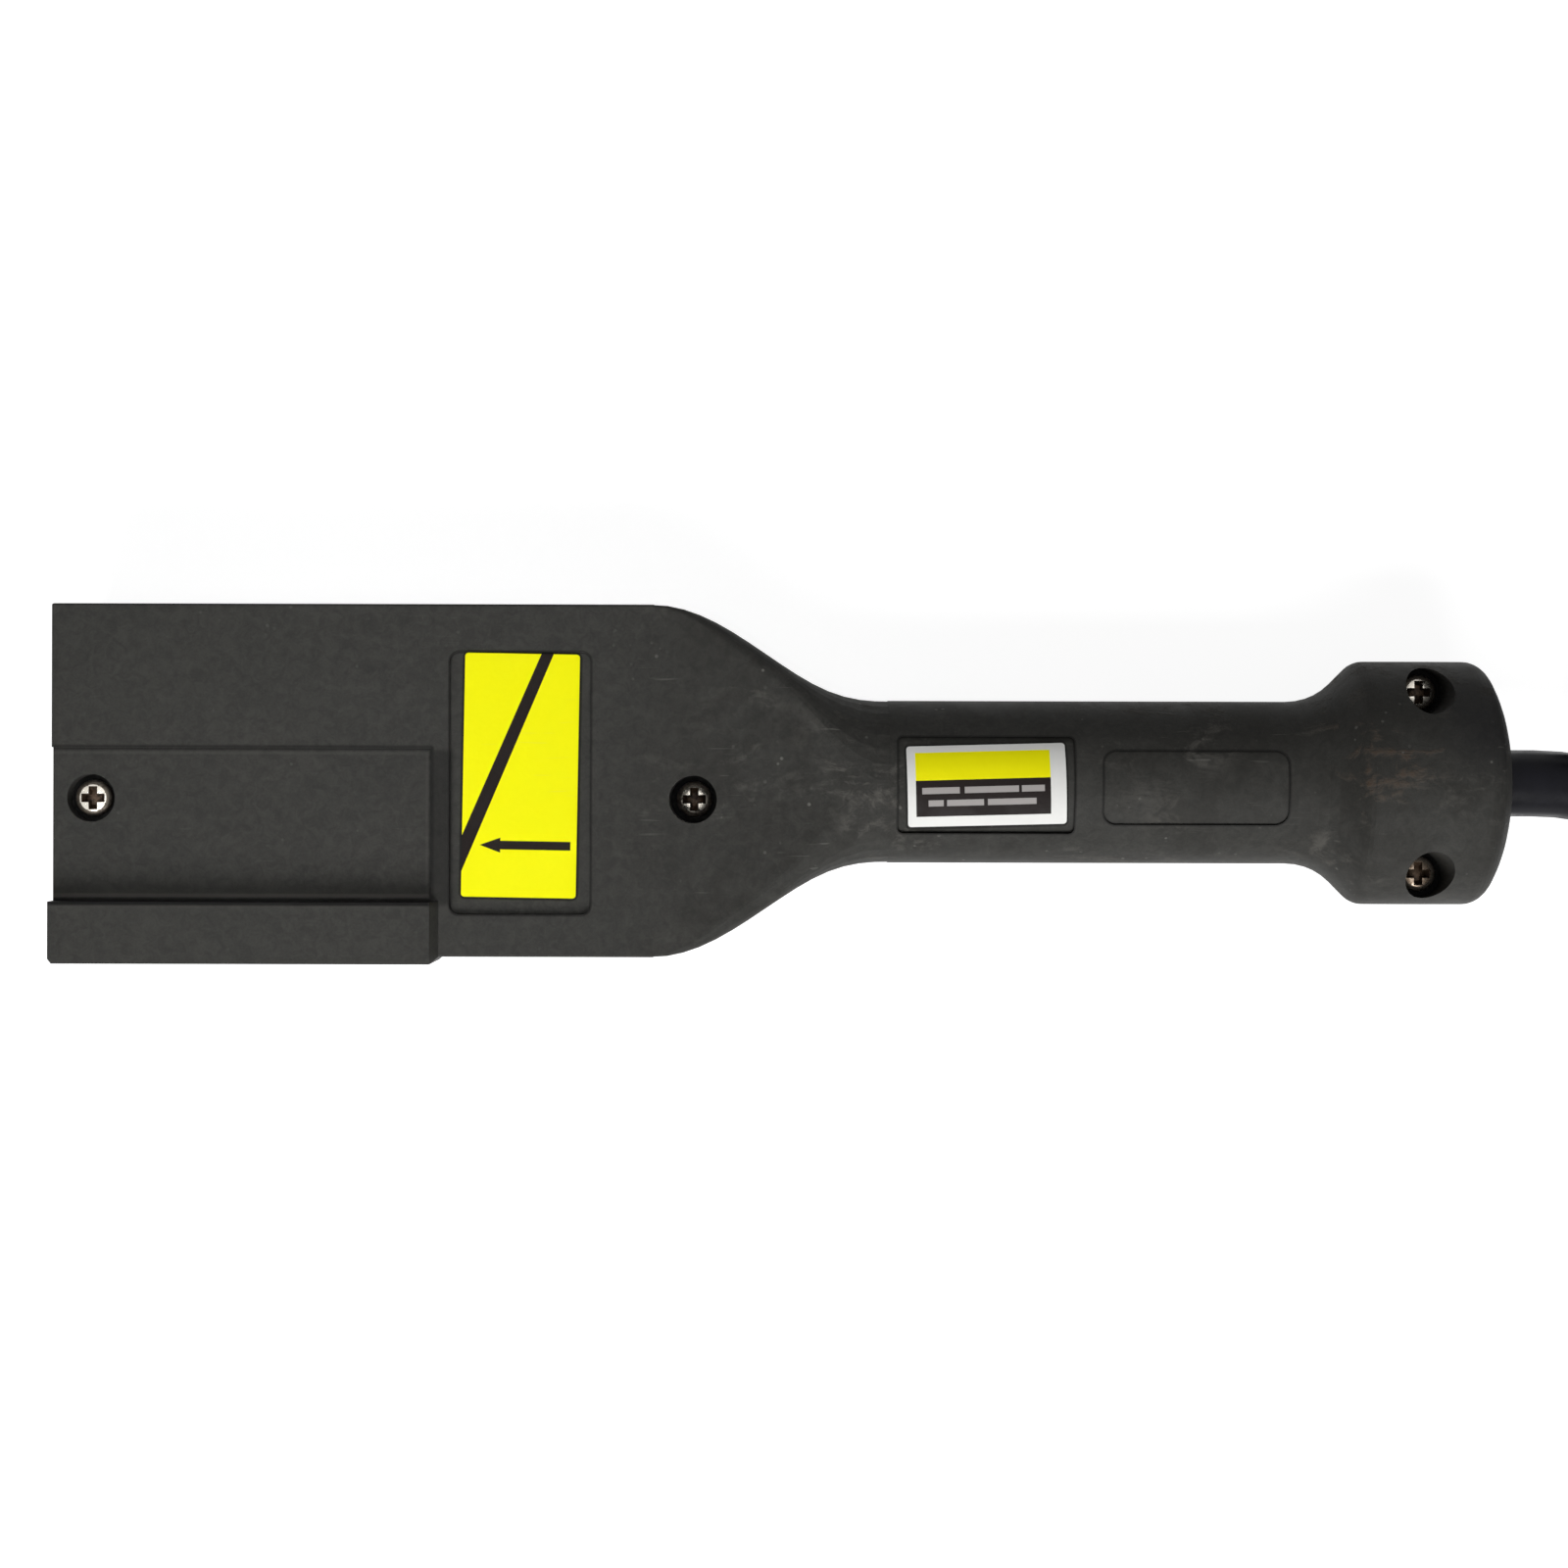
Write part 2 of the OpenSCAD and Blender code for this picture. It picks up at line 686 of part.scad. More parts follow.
// Small folded receptacle for the sense blade, with its barrel
module sense_contact() {
    color([0.78, 0.68, 0.4])
    translate([mouth_x, sense_y, sense_z]) {
        difference() {
            translate([0, -sense_w / 2, -sense_h / 2]) cube([sense_len, sense_w, sense_h]);
            translate([-1, -sense_w / 2 + sense_strip, -sense_h / 2 + sense_strip])
                cube([sense_len - 1, sense_w - 2 * sense_strip, sense_h - 2 * sense_strip]);
            translate([-1, -0.5, 0]) cube([sense_len - 2, 1, sense_h]);
        }
        translate([sense_len - join, 0, 0]) rotate([0, 90, 0]) difference() {
            cylinder(d = sense_dia + 2 * fit + 2 * sense_strip, h = 7);
            translate([0, 0, 1.5]) cylinder(d = sense_dia + 2 * fit, h = 8);
        }
    }
}

module positive_lead() { color([0.9, 0.9, 0.88]) tube(positive_route, lead_dia); }
module negative_lead() { color([0.1, 0.1, 0.1]) tube(negative_route, lead_dia); }
module sense_lead() { color([0.2, 0.5, 0.25]) tube(sense_route, sense_dia); }

// Stretch of the jacket that the saddles hold inside the handle
module jacket_end() {
    color([0.08, 0.08, 0.09])
    on_axis(jacket_x) cylinder(d = cord_dia, h = cord_route[0][0] - jacket_x);
}

module engagement_label() {
    color([0.96, 0.9, 0.1])
    translate([label_x + 0.35, 0.55, face_z - label_pocket_depth]) rotate(-0.9)
        linear_extrude(label_thick)
            rounded([-label_l / 2, -label_w / 2], [label_l / 2, label_w / 2], 0.6);
}

module plate_label() {
    color([0.92, 0.92, 0.9])
    grip_slice(plate_x + (plate_pocket_l - plate_label_l) / 2, plate_label_l,
               plate_y - plate_label_w / 2, plate_label_w,
               grip_r - plate_pocket_depth, grip_r - plate_pocket_depth + label_thick, 0.5);
}

// Outline of the hank: a ring with two straight runs and round ends
module hank_outline(r) {
    translate([hank_x, hank_y - r]) square([hank_run, 2 * r]);
    for (x = [hank_x, hank_x + hank_run]) translate([x, hank_y]) circle(r);
}

module hank_solid() {
    translate([0, 0, tie_thick]) linear_extrude(hank_high)
        difference() { hank_outline(hank_out); hank_outline(hank_in); }
}

module cord_hank() { color([0.08, 0.08, 0.09]) hank_solid(); }

// Two bands, one round each run of the hank
module hank_ties() {
    color([0.15, 0.15, 0.16])
    for (side = [-1, 1])
        extrude_x(hank_x + hank_run / 2 - tie_w / 2, tie_w)
            difference() {
                rounded(tie_corner(side, -1, tie_thick), tie_corner(side, 1, tie_thick),
                        2 * tie_thick);
                translate(tie_corner(side, -1, 0))
                    square(tie_corner(side, 1, 0) - tie_corner(side, -1, 0));
            }
}

// Lower (way = -1) or upper corner of a run's section, grown by the band
function tie_corner(side, way, grow) = [
    hank_y + side * (hank_in + hank_out) / 2 + way * ((hank_out - hank_in) / 2 + grow),
    tie_thick + (1 + way) / 2 * hank_high + way * grow
];

module cord() {
    color([0.08, 0.08, 0.09])
    difference() { tube(cord_route, cord_dia, 12); hank_solid(); }
}

module cord_tail() {
    color([0.08, 0.08, 0.09])
    difference() { tube(tail_route, cord_dia, 12); hank_solid(); }
}

// Shrunk sleeve over the end of the jacket
module breakout_sleeve() {
    grip = sleeve_len / 2;
    end_d = 2 * (lead_spread + lead_dia / 2) + 1;
    color([0.05, 0.05, 0.05])
    difference() {
        translate([tail_x, tail_y, sleeve_dia / 2]) rotate([0, 90, 0]) difference() {
            union() {
                cylinder(d = sleeve_dia, h = grip + 2);
                translate([0, 0, grip + 2]) cylinder(d1 = sleeve_dia, d2 = end_d, h = 8);
                translate([0, 0, grip + 10]) cylinder(d = end_d, h = sleeve_len - grip - 10);
            }
            translate([0, 0, -1]) cylinder(d = cord_dia + 2 * screw_gap, h = grip + 1 + fit);
        }
        tube(far_positive_route, lead_dia);
        tube(far_negative_route, lead_dia);
        tube(far_sense_route, sense_dia);
    }
}

module far_positive_lead() { color([0.9, 0.9, 0.88]) tube(far_positive_route, lead_dia); }
module far_negative_lead() { color([0.1, 0.1, 0.1]) tube(far_negative_route, lead_dia); }
module far_sense_lead() { color([0.2, 0.5, 0.25]) tube(far_sense_route, sense_dia); }

// Ring terminal with a crimp barrel round the end of a lead
module ring_terminal(route) {
    barrel = 9;
    taken = 4;
    neck = 3;
    eye_x = barrel + neck + ring_dia / 2;
    color([0.8, 0.8, 0.78])
    translate(route[len(route) - 1] - [taken, 0, 0]) {
        rotate([0, 90, 0]) difference() {
            cylinder(r = lead_dia / 2 + fit + 0.9, h = barrel);
            translate([0, 0, -1]) cylinder(d = lead_dia + 2 * fit, h = barrel - 1);
        }
        translate([0, 0, -ring_thick / 2]) difference() {
            union() {
                translate([barrel - 2, -2.2, 0]) cube([eye_x - barrel, 4.4, ring_thick]);
                translate([eye_x, 0, 0]) cylinder(d = ring_dia, h = ring_thick);
            }
            translate([eye_x, 0, -1]) cylinder(d = stud_dia + 0.3, h = ring_thick + 2);
        }
    }
}

module positive_ring() { ring_terminal(far_positive_route); }
module negative_ring() { ring_terminal(far_negative_route); }

// Flat tab terminal at the end of the sense lead
module sense_tab() {
    barrel = 7;
    taken = 4;
    tab = [13, 6.3, sense_strip];
    color([0.8, 0.75, 0.5])
    translate(far_sense_route[len(far_sense_route) - 1] - [taken, 0, 0]) {
        rotate([0, 90, 0]) difference() {
            cylinder(d = sense_dia + 2 * sense_strip, h = barrel);
            translate([0, 0, -1]) cylinder(d = sense_dia + 2 * fit, h = barrel - 1);
        }
        translate([barrel - 1, -tab[1] / 2, -tab[2] / 2]) cube(tab);
    }
}

upper_shell();
lower_shell();
nose_screw();
neck_screw();
left_clamp_screw();
right_clamp_screw();
positive_contact();
negative_contact();
sense_contact();
positive_lead();
negative_lead();
sense_lead();
jacket_end();
engagement_label();
plate_label();
cord();
cord_hank();
hank_ties();
cord_tail();
breakout_sleeve();
far_positive_lead();
far_negative_lead();
far_sense_lead();
positive_ring();
negative_ring();
sense_tab();
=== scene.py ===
"""Charging cord: a flat-nosed plug handle, and its cord put away as a tied hank.

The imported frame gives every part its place. This script dresses the moulded
handle with its screws and labels, winds the cord, and sets the camera and light.
"""

from __future__ import annotations

import json
import logging
import math
from collections.abc import Sequence
from dataclasses import dataclass, field
from enum import Enum

import bmesh
import bpy
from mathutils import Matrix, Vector

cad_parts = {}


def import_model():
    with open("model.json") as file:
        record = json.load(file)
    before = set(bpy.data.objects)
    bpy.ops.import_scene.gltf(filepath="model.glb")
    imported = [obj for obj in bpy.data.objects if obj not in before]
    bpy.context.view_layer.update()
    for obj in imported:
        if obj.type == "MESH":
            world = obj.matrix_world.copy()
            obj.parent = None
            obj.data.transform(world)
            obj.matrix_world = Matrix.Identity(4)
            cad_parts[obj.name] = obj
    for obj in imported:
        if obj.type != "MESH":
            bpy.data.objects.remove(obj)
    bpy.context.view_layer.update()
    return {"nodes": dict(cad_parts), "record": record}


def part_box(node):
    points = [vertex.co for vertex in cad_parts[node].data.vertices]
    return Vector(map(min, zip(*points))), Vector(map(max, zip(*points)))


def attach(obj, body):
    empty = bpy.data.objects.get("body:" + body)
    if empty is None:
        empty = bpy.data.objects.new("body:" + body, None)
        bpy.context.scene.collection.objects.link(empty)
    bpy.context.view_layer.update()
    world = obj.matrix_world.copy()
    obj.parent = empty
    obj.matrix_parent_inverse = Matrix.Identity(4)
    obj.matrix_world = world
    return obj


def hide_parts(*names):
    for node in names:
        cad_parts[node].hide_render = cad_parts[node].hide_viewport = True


MM = 0.001
BODY = "root"
MERGE = 1e-4

Socket = bpy.types.NodeSocket
Material = bpy.types.Material
Piece = bpy.types.Object
Tone = tuple[float, float, float, float]
Pair = tuple[float, float]
Spot = tuple[float, float]
Spot3 = tuple[float, float, float]

log = logging.getLogger("charging_cord")


class Slot(Enum):
    """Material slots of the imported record."""

    HANDLE = "handle_plastic"
    SCREW = "plated_screw"
    COPPER = "contact_copper"
    BRASS = "contact_brass"
    WHITE_WIRE = "white_insulation"
    BLACK_WIRE = "black_insulation"
    GREEN_WIRE = "green_insulation"
    JACKET = "cord_jacket"
    YELLOW = "yellow_label"
    WHITE = "white_label"
    WEBBING = "tie_webbing"
    SLEEVE = "shrink_sleeve"
    TINNED = "tinned_terminal"


class Extra(Enum):
    """Finishes that belong to a slot beside its main one."""

    BLACK_INK = "Black ink"
    YELLOW_INK = "Yellow ink"
    GREY_INK = "Grey ink"
    TARNISHED_AND_SHADED = "Tarnished and shaded screw"
    RECESS = "Grime and painted recess shade"
    RIM = "Painted rim shade"


FinishKey = Slot | Extra
Finishes = dict[FinishKey, Material]


def mm(x: float, y: float, z: float) -> Vector:
    """Return a point given in millimetres as a vector in metres."""
    return Vector((x, y, z)) * MM


def smooth_step(t: float) -> float:
    """Return the smooth step of t, held between 0 and 1."""
    t = max(0.0, min(1.0, t))
    return t * t * (3 - 2 * t)


def srgb(value: float) -> float:
    """Return the linear value of an 8-bit tone."""
    c = value / 255
    return c / 12.92 if c <= 0.04045 else ((c + 0.055) / 1.055) ** 2.4


def tone(r: float, g: float, b: float) -> Tone:
    """Return a linear colour from three 8-bit tones."""
    return (srgb(r), srgb(g), srgb(b), 1.0)


def link_object(name: str, data: bpy.types.ID) -> Piece:
    """Return a new object that shows the data in the scene."""
    item = bpy.data.objects.new(name, data)
    bpy.context.scene.collection.objects.link(item)
    return item


# ---------------------------------------------------------------- node helpers


class Sheet:
    """A node tree that nodes are added to and joined in."""

    def __init__(self, tree: bpy.types.NodeTree) -> None:
        """Keep the tree.

        Args:
            tree: the node tree of the material, the world or the group.
        """
        self.tree = tree

    def add(self, kind: str, **values: object) -> bpy.types.Node:
        """Add a node and set its properties or the defaults of its inputs.

        Args:
            kind: the node's type name, without the ShaderNode prefix.
            values: property names, or input names with _ for a space.

        Returns:
            The new node.
        """
        node = self.tree.nodes.new("ShaderNode" + kind)
        for name, value in values.items():
            label = name.replace("_", " ")
            if hasattr(node, name):
                setattr(node, name, value)
            elif label in node.inputs:
                node.inputs[label].default_value = value
            else:
                raise KeyError(f"{kind} has no {name}")
        return node

    def feed(self, value: object, target: Socket) -> None:
        """Link an output to an input, or set the input to a plain value."""
        if isinstance(value, Socket):
            self.tree.links.new(value, target)
        else:
            target.default_value = value

    def math(self, how: str, a: object, b: object = 0.0) -> Socket:
        """Return the output of a Math node on two sockets or numbers."""
        node = self.add("Math", operation=how)
        self.feed(a, node.inputs[0])
        self.feed(b, node.inputs[1])
        return node.outputs[0]

    def product(self, *factors: object) -> Socket:
        """Return the product of sockets and numbers."""
        total = factors[0]
        for factor in factors[1:]:
            total = self.math("MULTIPLY", total, factor)
        return total

    def blend(self, a: object, b: object, share: float) -> Socket:
        """Return a and b added in the shares 1 - share and share."""
        return self.math("ADD", self.product(a, 1 - share), self.product(b, share))

    def mix(self, share: object, a: object, b: object) -> Socket:
        """Return the colour between a at share 0 and b at share 1."""
        node = self.add("Mix", data_type="RGBA")
        for k, value in ((0, share), (6, a), (7, b)):
            self.feed(value, node.inputs[k])
        return node.outputs[2]

    def span(self, value: Socket, low: float, high: float,
             to_low: float = 0.0, to_high: float = 1.0) -> Socket:
        """Map a value smoothly, from to_low at low to to_high at high.

        Args:
            value: the socket to map.
            low: the value that gives to_low.
            high: the value that gives to_high.
            to_low: the lower result.
            to_high: the upper result.

        Returns:
            The mapped value.
        """
        node = self.add("MapRange", interpolation_type="SMOOTHSTEP")
        for k, number in enumerate((value, low, high, to_low, to_high)):
            self.feed(number, node.inputs[k])
        return node.outputs[0]

    def axes(self, point: Socket) -> bpy.types.NodeOutputs:
        """Return a point's three coordinates."""
        node = self.add("SeparateXYZ")
        self.feed(point, node.inputs[0])
        return node.outputs

    def place(self, point: Socket, kind: str = "POINT",
              **values: Spot3) -> Socket:
        """Return a point after a Mapping node with the values given."""
        node = self.add("Mapping", vector_type=kind, **values)
        self.feed(point, node.inputs["Vector"])
        return node.outputs[0]

    def noise(self, point: Socket, scale: object, detail: float = 2.0,
              rough: float = 0.5, warp: float = 0.0) -> Socket:
        """Add a Noise Texture.

        Args:
            point: the coordinates.
            scale: a socket or a number, in features a metre.
            detail: how many finer layers it has.
            rough: how strong the finer layers are.
            warp: how far it is distorted.

        Returns:
            Its factor.
        """
        node = self.add("TexNoise", Detail=detail, Roughness=rough, Distortion=warp)
        self.feed(point, node.inputs["Vector"])
        self.feed(scale, node.inputs["Scale"])
        return node.outputs[0]


def blank_tree(owner: Material | bpy.types.World) -> bpy.types.NodeTree:
    """Return the emptied node tree of a material or a world."""
    owner.use_nodes = True
    owner.node_tree.nodes.clear()
    return owner.node_tree


class EffectGroup(Sheet):
    """A shader node group under way, which takes a point and numbers and gives one value."""

    def __init__(self, name: str, output: str, **inputs: float) -> None:
        """Make the group with its sockets.

        Args:
            name: the group's name.
            output: the name of the value that it gives.
            inputs: the numbers it takes with their defaults, with _ for a space.
        """
        super().__init__(bpy.data.node_groups.new(name, "ShaderNodeTree"))
        new_socket = self.tree.interface.new_socket
        new_socket("Point", in_out="INPUT", socket_type="NodeSocketVector")
        for label, value in inputs.items():
            socket = new_socket(label.replace("_", " "), in_out="INPUT",
                                socket_type="NodeSocketFloat")
            socket.default_value = value
        new_socket(output, in_out="OUTPUT", socket_type="NodeSocketFloat")
        self.take = self.tree.nodes.new("NodeGroupInput").outputs
        self.point = self.take["Point"]
        self.result = self.tree.nodes.new("NodeGroupOutput").inputs[output]

    def give(self, value: Socket) -> bpy.types.NodeTree:
        """Let the group give a value, and return its tree."""
        self.feed(value, self.result)
        return self.tree


class Effects:
    """Node groups that several finishes share."""

    def __init__(self) -> None:
        """Build each group once."""
        self.grain = self._grain()
        self.mottle = self._mottle()
        self.scuffs = self._scuffs()
        self.specks = self._specks()
        self.swirl = self._swirl()
        self.frame_gap = self._frame_gap()

    def _grain(self) -> bpy.types.NodeTree:
        """Return the fine texture of a mould's etched surface."""
        group = EffectGroup("Mould grain", "Height", Scale=2200.0)
        scale = group.take["Scale"]
        fine = group.noise(group.point, scale, 3.0, 0.6)
        coarse = group.noise(group.point, group.product(scale, 0.31), 2.0, 0.5)
        return group.give(group.blend(fine, coarse, 0.35))

    def _mottle(self) -> bpy.types.NodeTree:
        """Return cloudy handling marks, from broad to small."""
        group = EffectGroup("Handling mottle", "Mask", Scale=120.0, Contrast=1.0)
        scale = group.take["Scale"]
        broad = group.noise(group.point, scale, 5.0, 0.62, 0.9)
        small = group.noise(group.point, group.product(scale, 5.3), 4.0, 0.6, 0.4)
        centred = group.math("SUBTRACT", group.blend(broad, small, 0.3), 0.5)
        spread = group.product(centred, group.take["Contrast"])
        return group.give(group.span(spread, -0.22, 0.22))

    def _scuffs(self) -> bpy.types.NodeTree:
        """Return short thin scratches in many directions."""
        group = EffectGroup("Scuffs", "Mask", Scale=75.0, Amount=0.5)
        total: object = 0.0
        for turn, stretch, shift in ((0.35, 15.0, 0.0), (1.3, 19.0, 0.13), (-0.75, 17.0, 0.29),
                                     (2.2, 13.0, 0.41)):
            local = group.place(group.point, Location=(shift, shift, 0.0),
                                Rotation=(0.3, 0.2, turn), Scale=(1.0, stretch, stretch * 0.3))
            streak = group.noise(local, group.take["Scale"], 1.0, 0.5, 0.35)
            total = group.math("MAXIMUM", total, group.span(streak, 0.73, 0.79))
        where = group.span(group.noise(group.point, 90.0), 0.5, 0.62)
        return group.give(group.product(total, where, group.take["Amount"]))

    def _swirl(self) -> bpy.types.NodeTree:
        """Return curling wipe marks, broken into patches."""
        group = EffectGroup("Wipe swirls", "Mask", Scale=70.0)
        scale = group.take["Scale"]
        local = group.place(group.point, Scale=(0.7, 1.9, 1.4), Rotation=(0.0, 0.0, 0.35))
        curl = group.noise(local, scale, 5.0, 0.6, 1.5)
        fine = group.noise(group.point, group.product(scale, 6.0), 3.0, 0.6, 1.2)
        ridge = group.span(group.blend(curl, fine, 0.28), 0.5, 0.66)
        broad = group.noise(group.point, group.product(scale, 0.45))
        return group.give(group.product(ridge, group.span(broad, 0.38, 0.6)))

    def _frame_gap(self) -> bpy.types.NodeTree:
        """Return how far a point is from a round-cornered frame, below 0 inside it."""
        group = EffectGroup("Distance to frame", "Gap", Half_X=0.01, Half_Y=0.01, Corner=0.001)
        corner, sides = group.take["Corner"], []
        for axis, half in zip(group.axes(group.point), ("Half X", "Half Y")):
            beyond = group.math("SUBTRACT", group.math("ABSOLUTE", axis), group.take[half])
            sides.append(group.math("ADD", beyond, corner))
        squares = [group.math("POWER", group.math("MAXIMUM", side, 0.0), 2.0) for side in sides]
        outside = group.math("SQRT", group.math("ADD", *squares))
        inside = group.math("MINIMUM", group.math("MAXIMUM", *sides), 0.0)
        return group.give(group.math("SUBTRACT", group.math("ADD", outside, inside), corner))

    def _specks(self) -> bpy.types.NodeTree:
        """Return a few small pale specks and nicks."""
        group = EffectGroup("Specks", "Mask", Scale=420.0, Amount=1.0)
        cell = group.add("TexVoronoi", feature="F1")
        group.feed(group.point, cell.inputs["Vector"])
        group.feed(group.take["Scale"], cell.inputs["Scale"])
        near = group.span(cell.outputs["Distance"], 0.1, 0.22, 1.0, 0.0)
        rare = group.span(group.noise(group.point, 160.0), 0.58, 0.7)
        return group.give(group.product(near, rare, group.take["Amount"]))


# -------------------------------------------------------------------- finishes


class Canvas(Sheet):
    """A material under way, with its shader, its coordinates and the shared effects."""

    def __init__(self, finish: Finish, effects: Effects) -> None:
        """Start the material with its plain shader.

        Args:
            finish: the finish that it shows.
            effects: the shared node groups.
        """
        self.material = bpy.data.materials.new(finish.name)
        super().__init__(blank_tree(self.material))
        self.finish, self.effects = finish, effects
        self.shader = self.add("BsdfPrincipled", Roughness=finish.rough, Metallic=finish.metal,
                               Base_Color=finish.colour, Specular_IOR_Level=finish.level)
        self.feed(self.shader.outputs[0], self.add("OutputMaterial").inputs[0])
        self.point = self.add("TexCoord").outputs["Object"]
        self.material.diffuse_color = finish.colour

    def effect(self, tree: bpy.types.NodeTree, point: Socket | None = None,
               **values: float) -> Socket:
        """Place a shared effect.

        Args:
            tree: the effect's node group.
            point: the coordinates that it reads, or else the object's own.
            values: its own numbers, with _ for a space in their names.

        Returns:
            Its only output.
        """
        node = self.add("Group", node_tree=tree, **values)
        self.feed(self.point if point is None else point, node.inputs["Point"])
        return node.outputs[0]

    def tint(self, base: object, colour: Tone, *masks: object) -> Socket:
        """Return the base with a colour laid on it by the product of the masks."""
        return self.mix(self.product(*masks), base, colour)

    def shade(self, colour: Socket) -> None:
        """Give the shader its colour."""
        self.feed(colour, self.shader.inputs["Base Color"])

    def gloss(self, cloud: Socket) -> None:
        """Vary the roughness with a mask, as far as the finish says."""
        rough, (less, more) = self.finish.rough, self.finish.gloss
        self.feed(self.span(cloud, 0.0, 1.0, rough - less, rough + more),
                  self.shader.inputs["Roughness"])

    def raise_by(self, height: Socket, depth: float) -> None:
        """Feed a height into the normal; a height of 1 is as deep as given, in metres."""
        bump = self.add("Bump", Strength=1.0, Distance=depth)
        self.feed(height, bump.inputs["Height"])
        self.feed(bump.outputs[0], self.shader.inputs["Normal"])


@dataclass(frozen=True)
class Finish:
    """A surface finish: a colour with clouds of another, and an uneven gloss.

    The clouds have a scale and a contrast, the gloss is how far the roughness
    goes below and above its value, and the grain has a scale and a depth. Where
    no other colour is given, the clouds are the main one dimmed. A worn finish
    has faint scuffs of that colour.
    """

    name: str
    colour: Tone
    rough: float = 0.5
    metal: float = 0.0
    level: float = 0.5
    clouds: Pair = (260.0, 1.0)
    other: Tone | None = None
    dimmed: float = 0.72
    patchy: float = 0.16
    gloss: Pair = (0.07, 0.07)
    grain: Pair | None = None
    cloud_depth: float | None = None
    worn: Tone | None = None

    def build(self, effects: Effects) -> Material:
        """Make the material.

        Args:
            effects: the shared node groups.

        Returns:
            The material.
        """
        work = Canvas(self, effects)
        cloud = work.effect(effects.mottle, Scale=self.clouds[0], Contrast=self.clouds[1])
        other = self.other or tuple(self.dimmed * c for c in self.colour[:3]) + (1.0,)
        base = work.tint(self.colour, other, cloud, self.patchy)
        if self.worn:
            base = work.tint(base, self.worn, work.effect(effects.scuffs, Scale=90.0, Amount=0.05))
        work.shade(base)
        work.gloss(cloud)
        if self.grain:
            work.raise_by(work.effect(effects.grain, Scale=self.grain[0]), self.grain[1])
        if self.cloud_depth:
            work.raise_by(cloud, self.cloud_depth)
        return work.material


@dataclass(frozen=True)
class EdgeMark:
    """A painted shade or highlight, as a line or a patch that follows a frame, seen from above;
    sizes in millimetres.
    """

    middle: Spot
    size: Pair
    fade: Pair
    share: float
    colour: Tone
    corner: float = 0.1
    turn: float = 0.0
    line_at: float | None = None

    def mask(self, work: Canvas) -> Socket:
        """Return the mark's mask.

        Args:
            work: the material under way.

        Returns:
            Its mask: about the frame where line_at is given, or else inside it.
        """
        local = work.place(work.point, "TEXTURE", Location=mm(*self.middle, 0.0),
                           Rotation=(0.0, 0.0, math.radians(self.turn)))
        gap = work.effect(work.effects.frame_gap, local, Half_X=self.size[0] / 2 * MM,
                          Half_Y=self.size[1] / 2 * MM, Corner=self.corner * MM)
        if self.line_at is not None:
            gap = work.math("ABSOLUTE", work.math("SUBTRACT", gap, self.line_at * MM))
        full, none = self.fade
        return work.span(gap, full * MM, none * MM, 1.0, 0.0)


# pale dust for the handling marks, also used for the painted highlights on the key plate
DUST_AND_HIGHLIGHT = tone(90, 88, 84)
GAP_SHADE = tone(8, 8, 8)
PLATE_EDGE = {"middle": (-101.5, -8.0), "size": (77.0, 27.6)}
EDGE_MARKS = (
    # the key plate: painted shade at its end, painted light over the rail's shadow along its foot,
    # a painted highlight line along its lower edge, a painted highlight on its arris and painted
    # shade in its corner
    EdgeMark((-61.25, -8.5), (3.5, 27.4), (-0.4, 0.9), 0.55, tone(14, 14, 13)),
    EdgeMark((-101.75, -20.9), (76.5, 2.2), (-1.2, 1.8), 0.28, DUST_AND_HIGHLIGHT),
    EdgeMark((-101.85, -20.75), (76.3, 0.3), (0.0, 0.3), 0.55, DUST_AND_HIGHLIGHT),
    EdgeMark(**PLATE_EDGE, fade=(0.1, 0.4), share=0.14, colour=DUST_AND_HIGHLIGHT, line_at=-0.95),
    EdgeMark(**PLATE_EDGE, fade=(0.2, 0.7), share=0.56, colour=tone(12, 12, 12), line_at=0.0),
    # painted shade in the corner at the foot of the rail
    EdgeMark((-101.6, -21.85), (76.8, 0.9), (-0.2, 0.4), 0.95, tone(3, 3, 3)),
    # painted shade in the gaps round each label's film and pocket, and round the bare pocket
    EdgeMark((-47.1, 0.9), (20.8, 44.0), (0.15, 0.5), 0.8, GAP_SHADE, 0.9, -0.9, 0.0),
    EdgeMark((-47.1, -0.5), (25.4, 47.2), (0.1, 0.4), 0.55, GAP_SHADE, 1.8, 0.0, 0.0),
    EdgeMark((36.5, -0.68), (28.6, 14.7), (0.1, 0.4), 0.7, GAP_SHADE, 0.6, 1.7, 0.0),
    EdgeMark((36.45, -0.6), (31.7, 17.4), (0.1, 0.4), 0.55, GAP_SHADE, 1.0, 0.0, 0.0),
    EdgeMark((73.95, -1.0), (33.3, 13.3), (0.1, 0.4), 0.6, GAP_SHADE, 2.4, 0.0, 0.0),
)


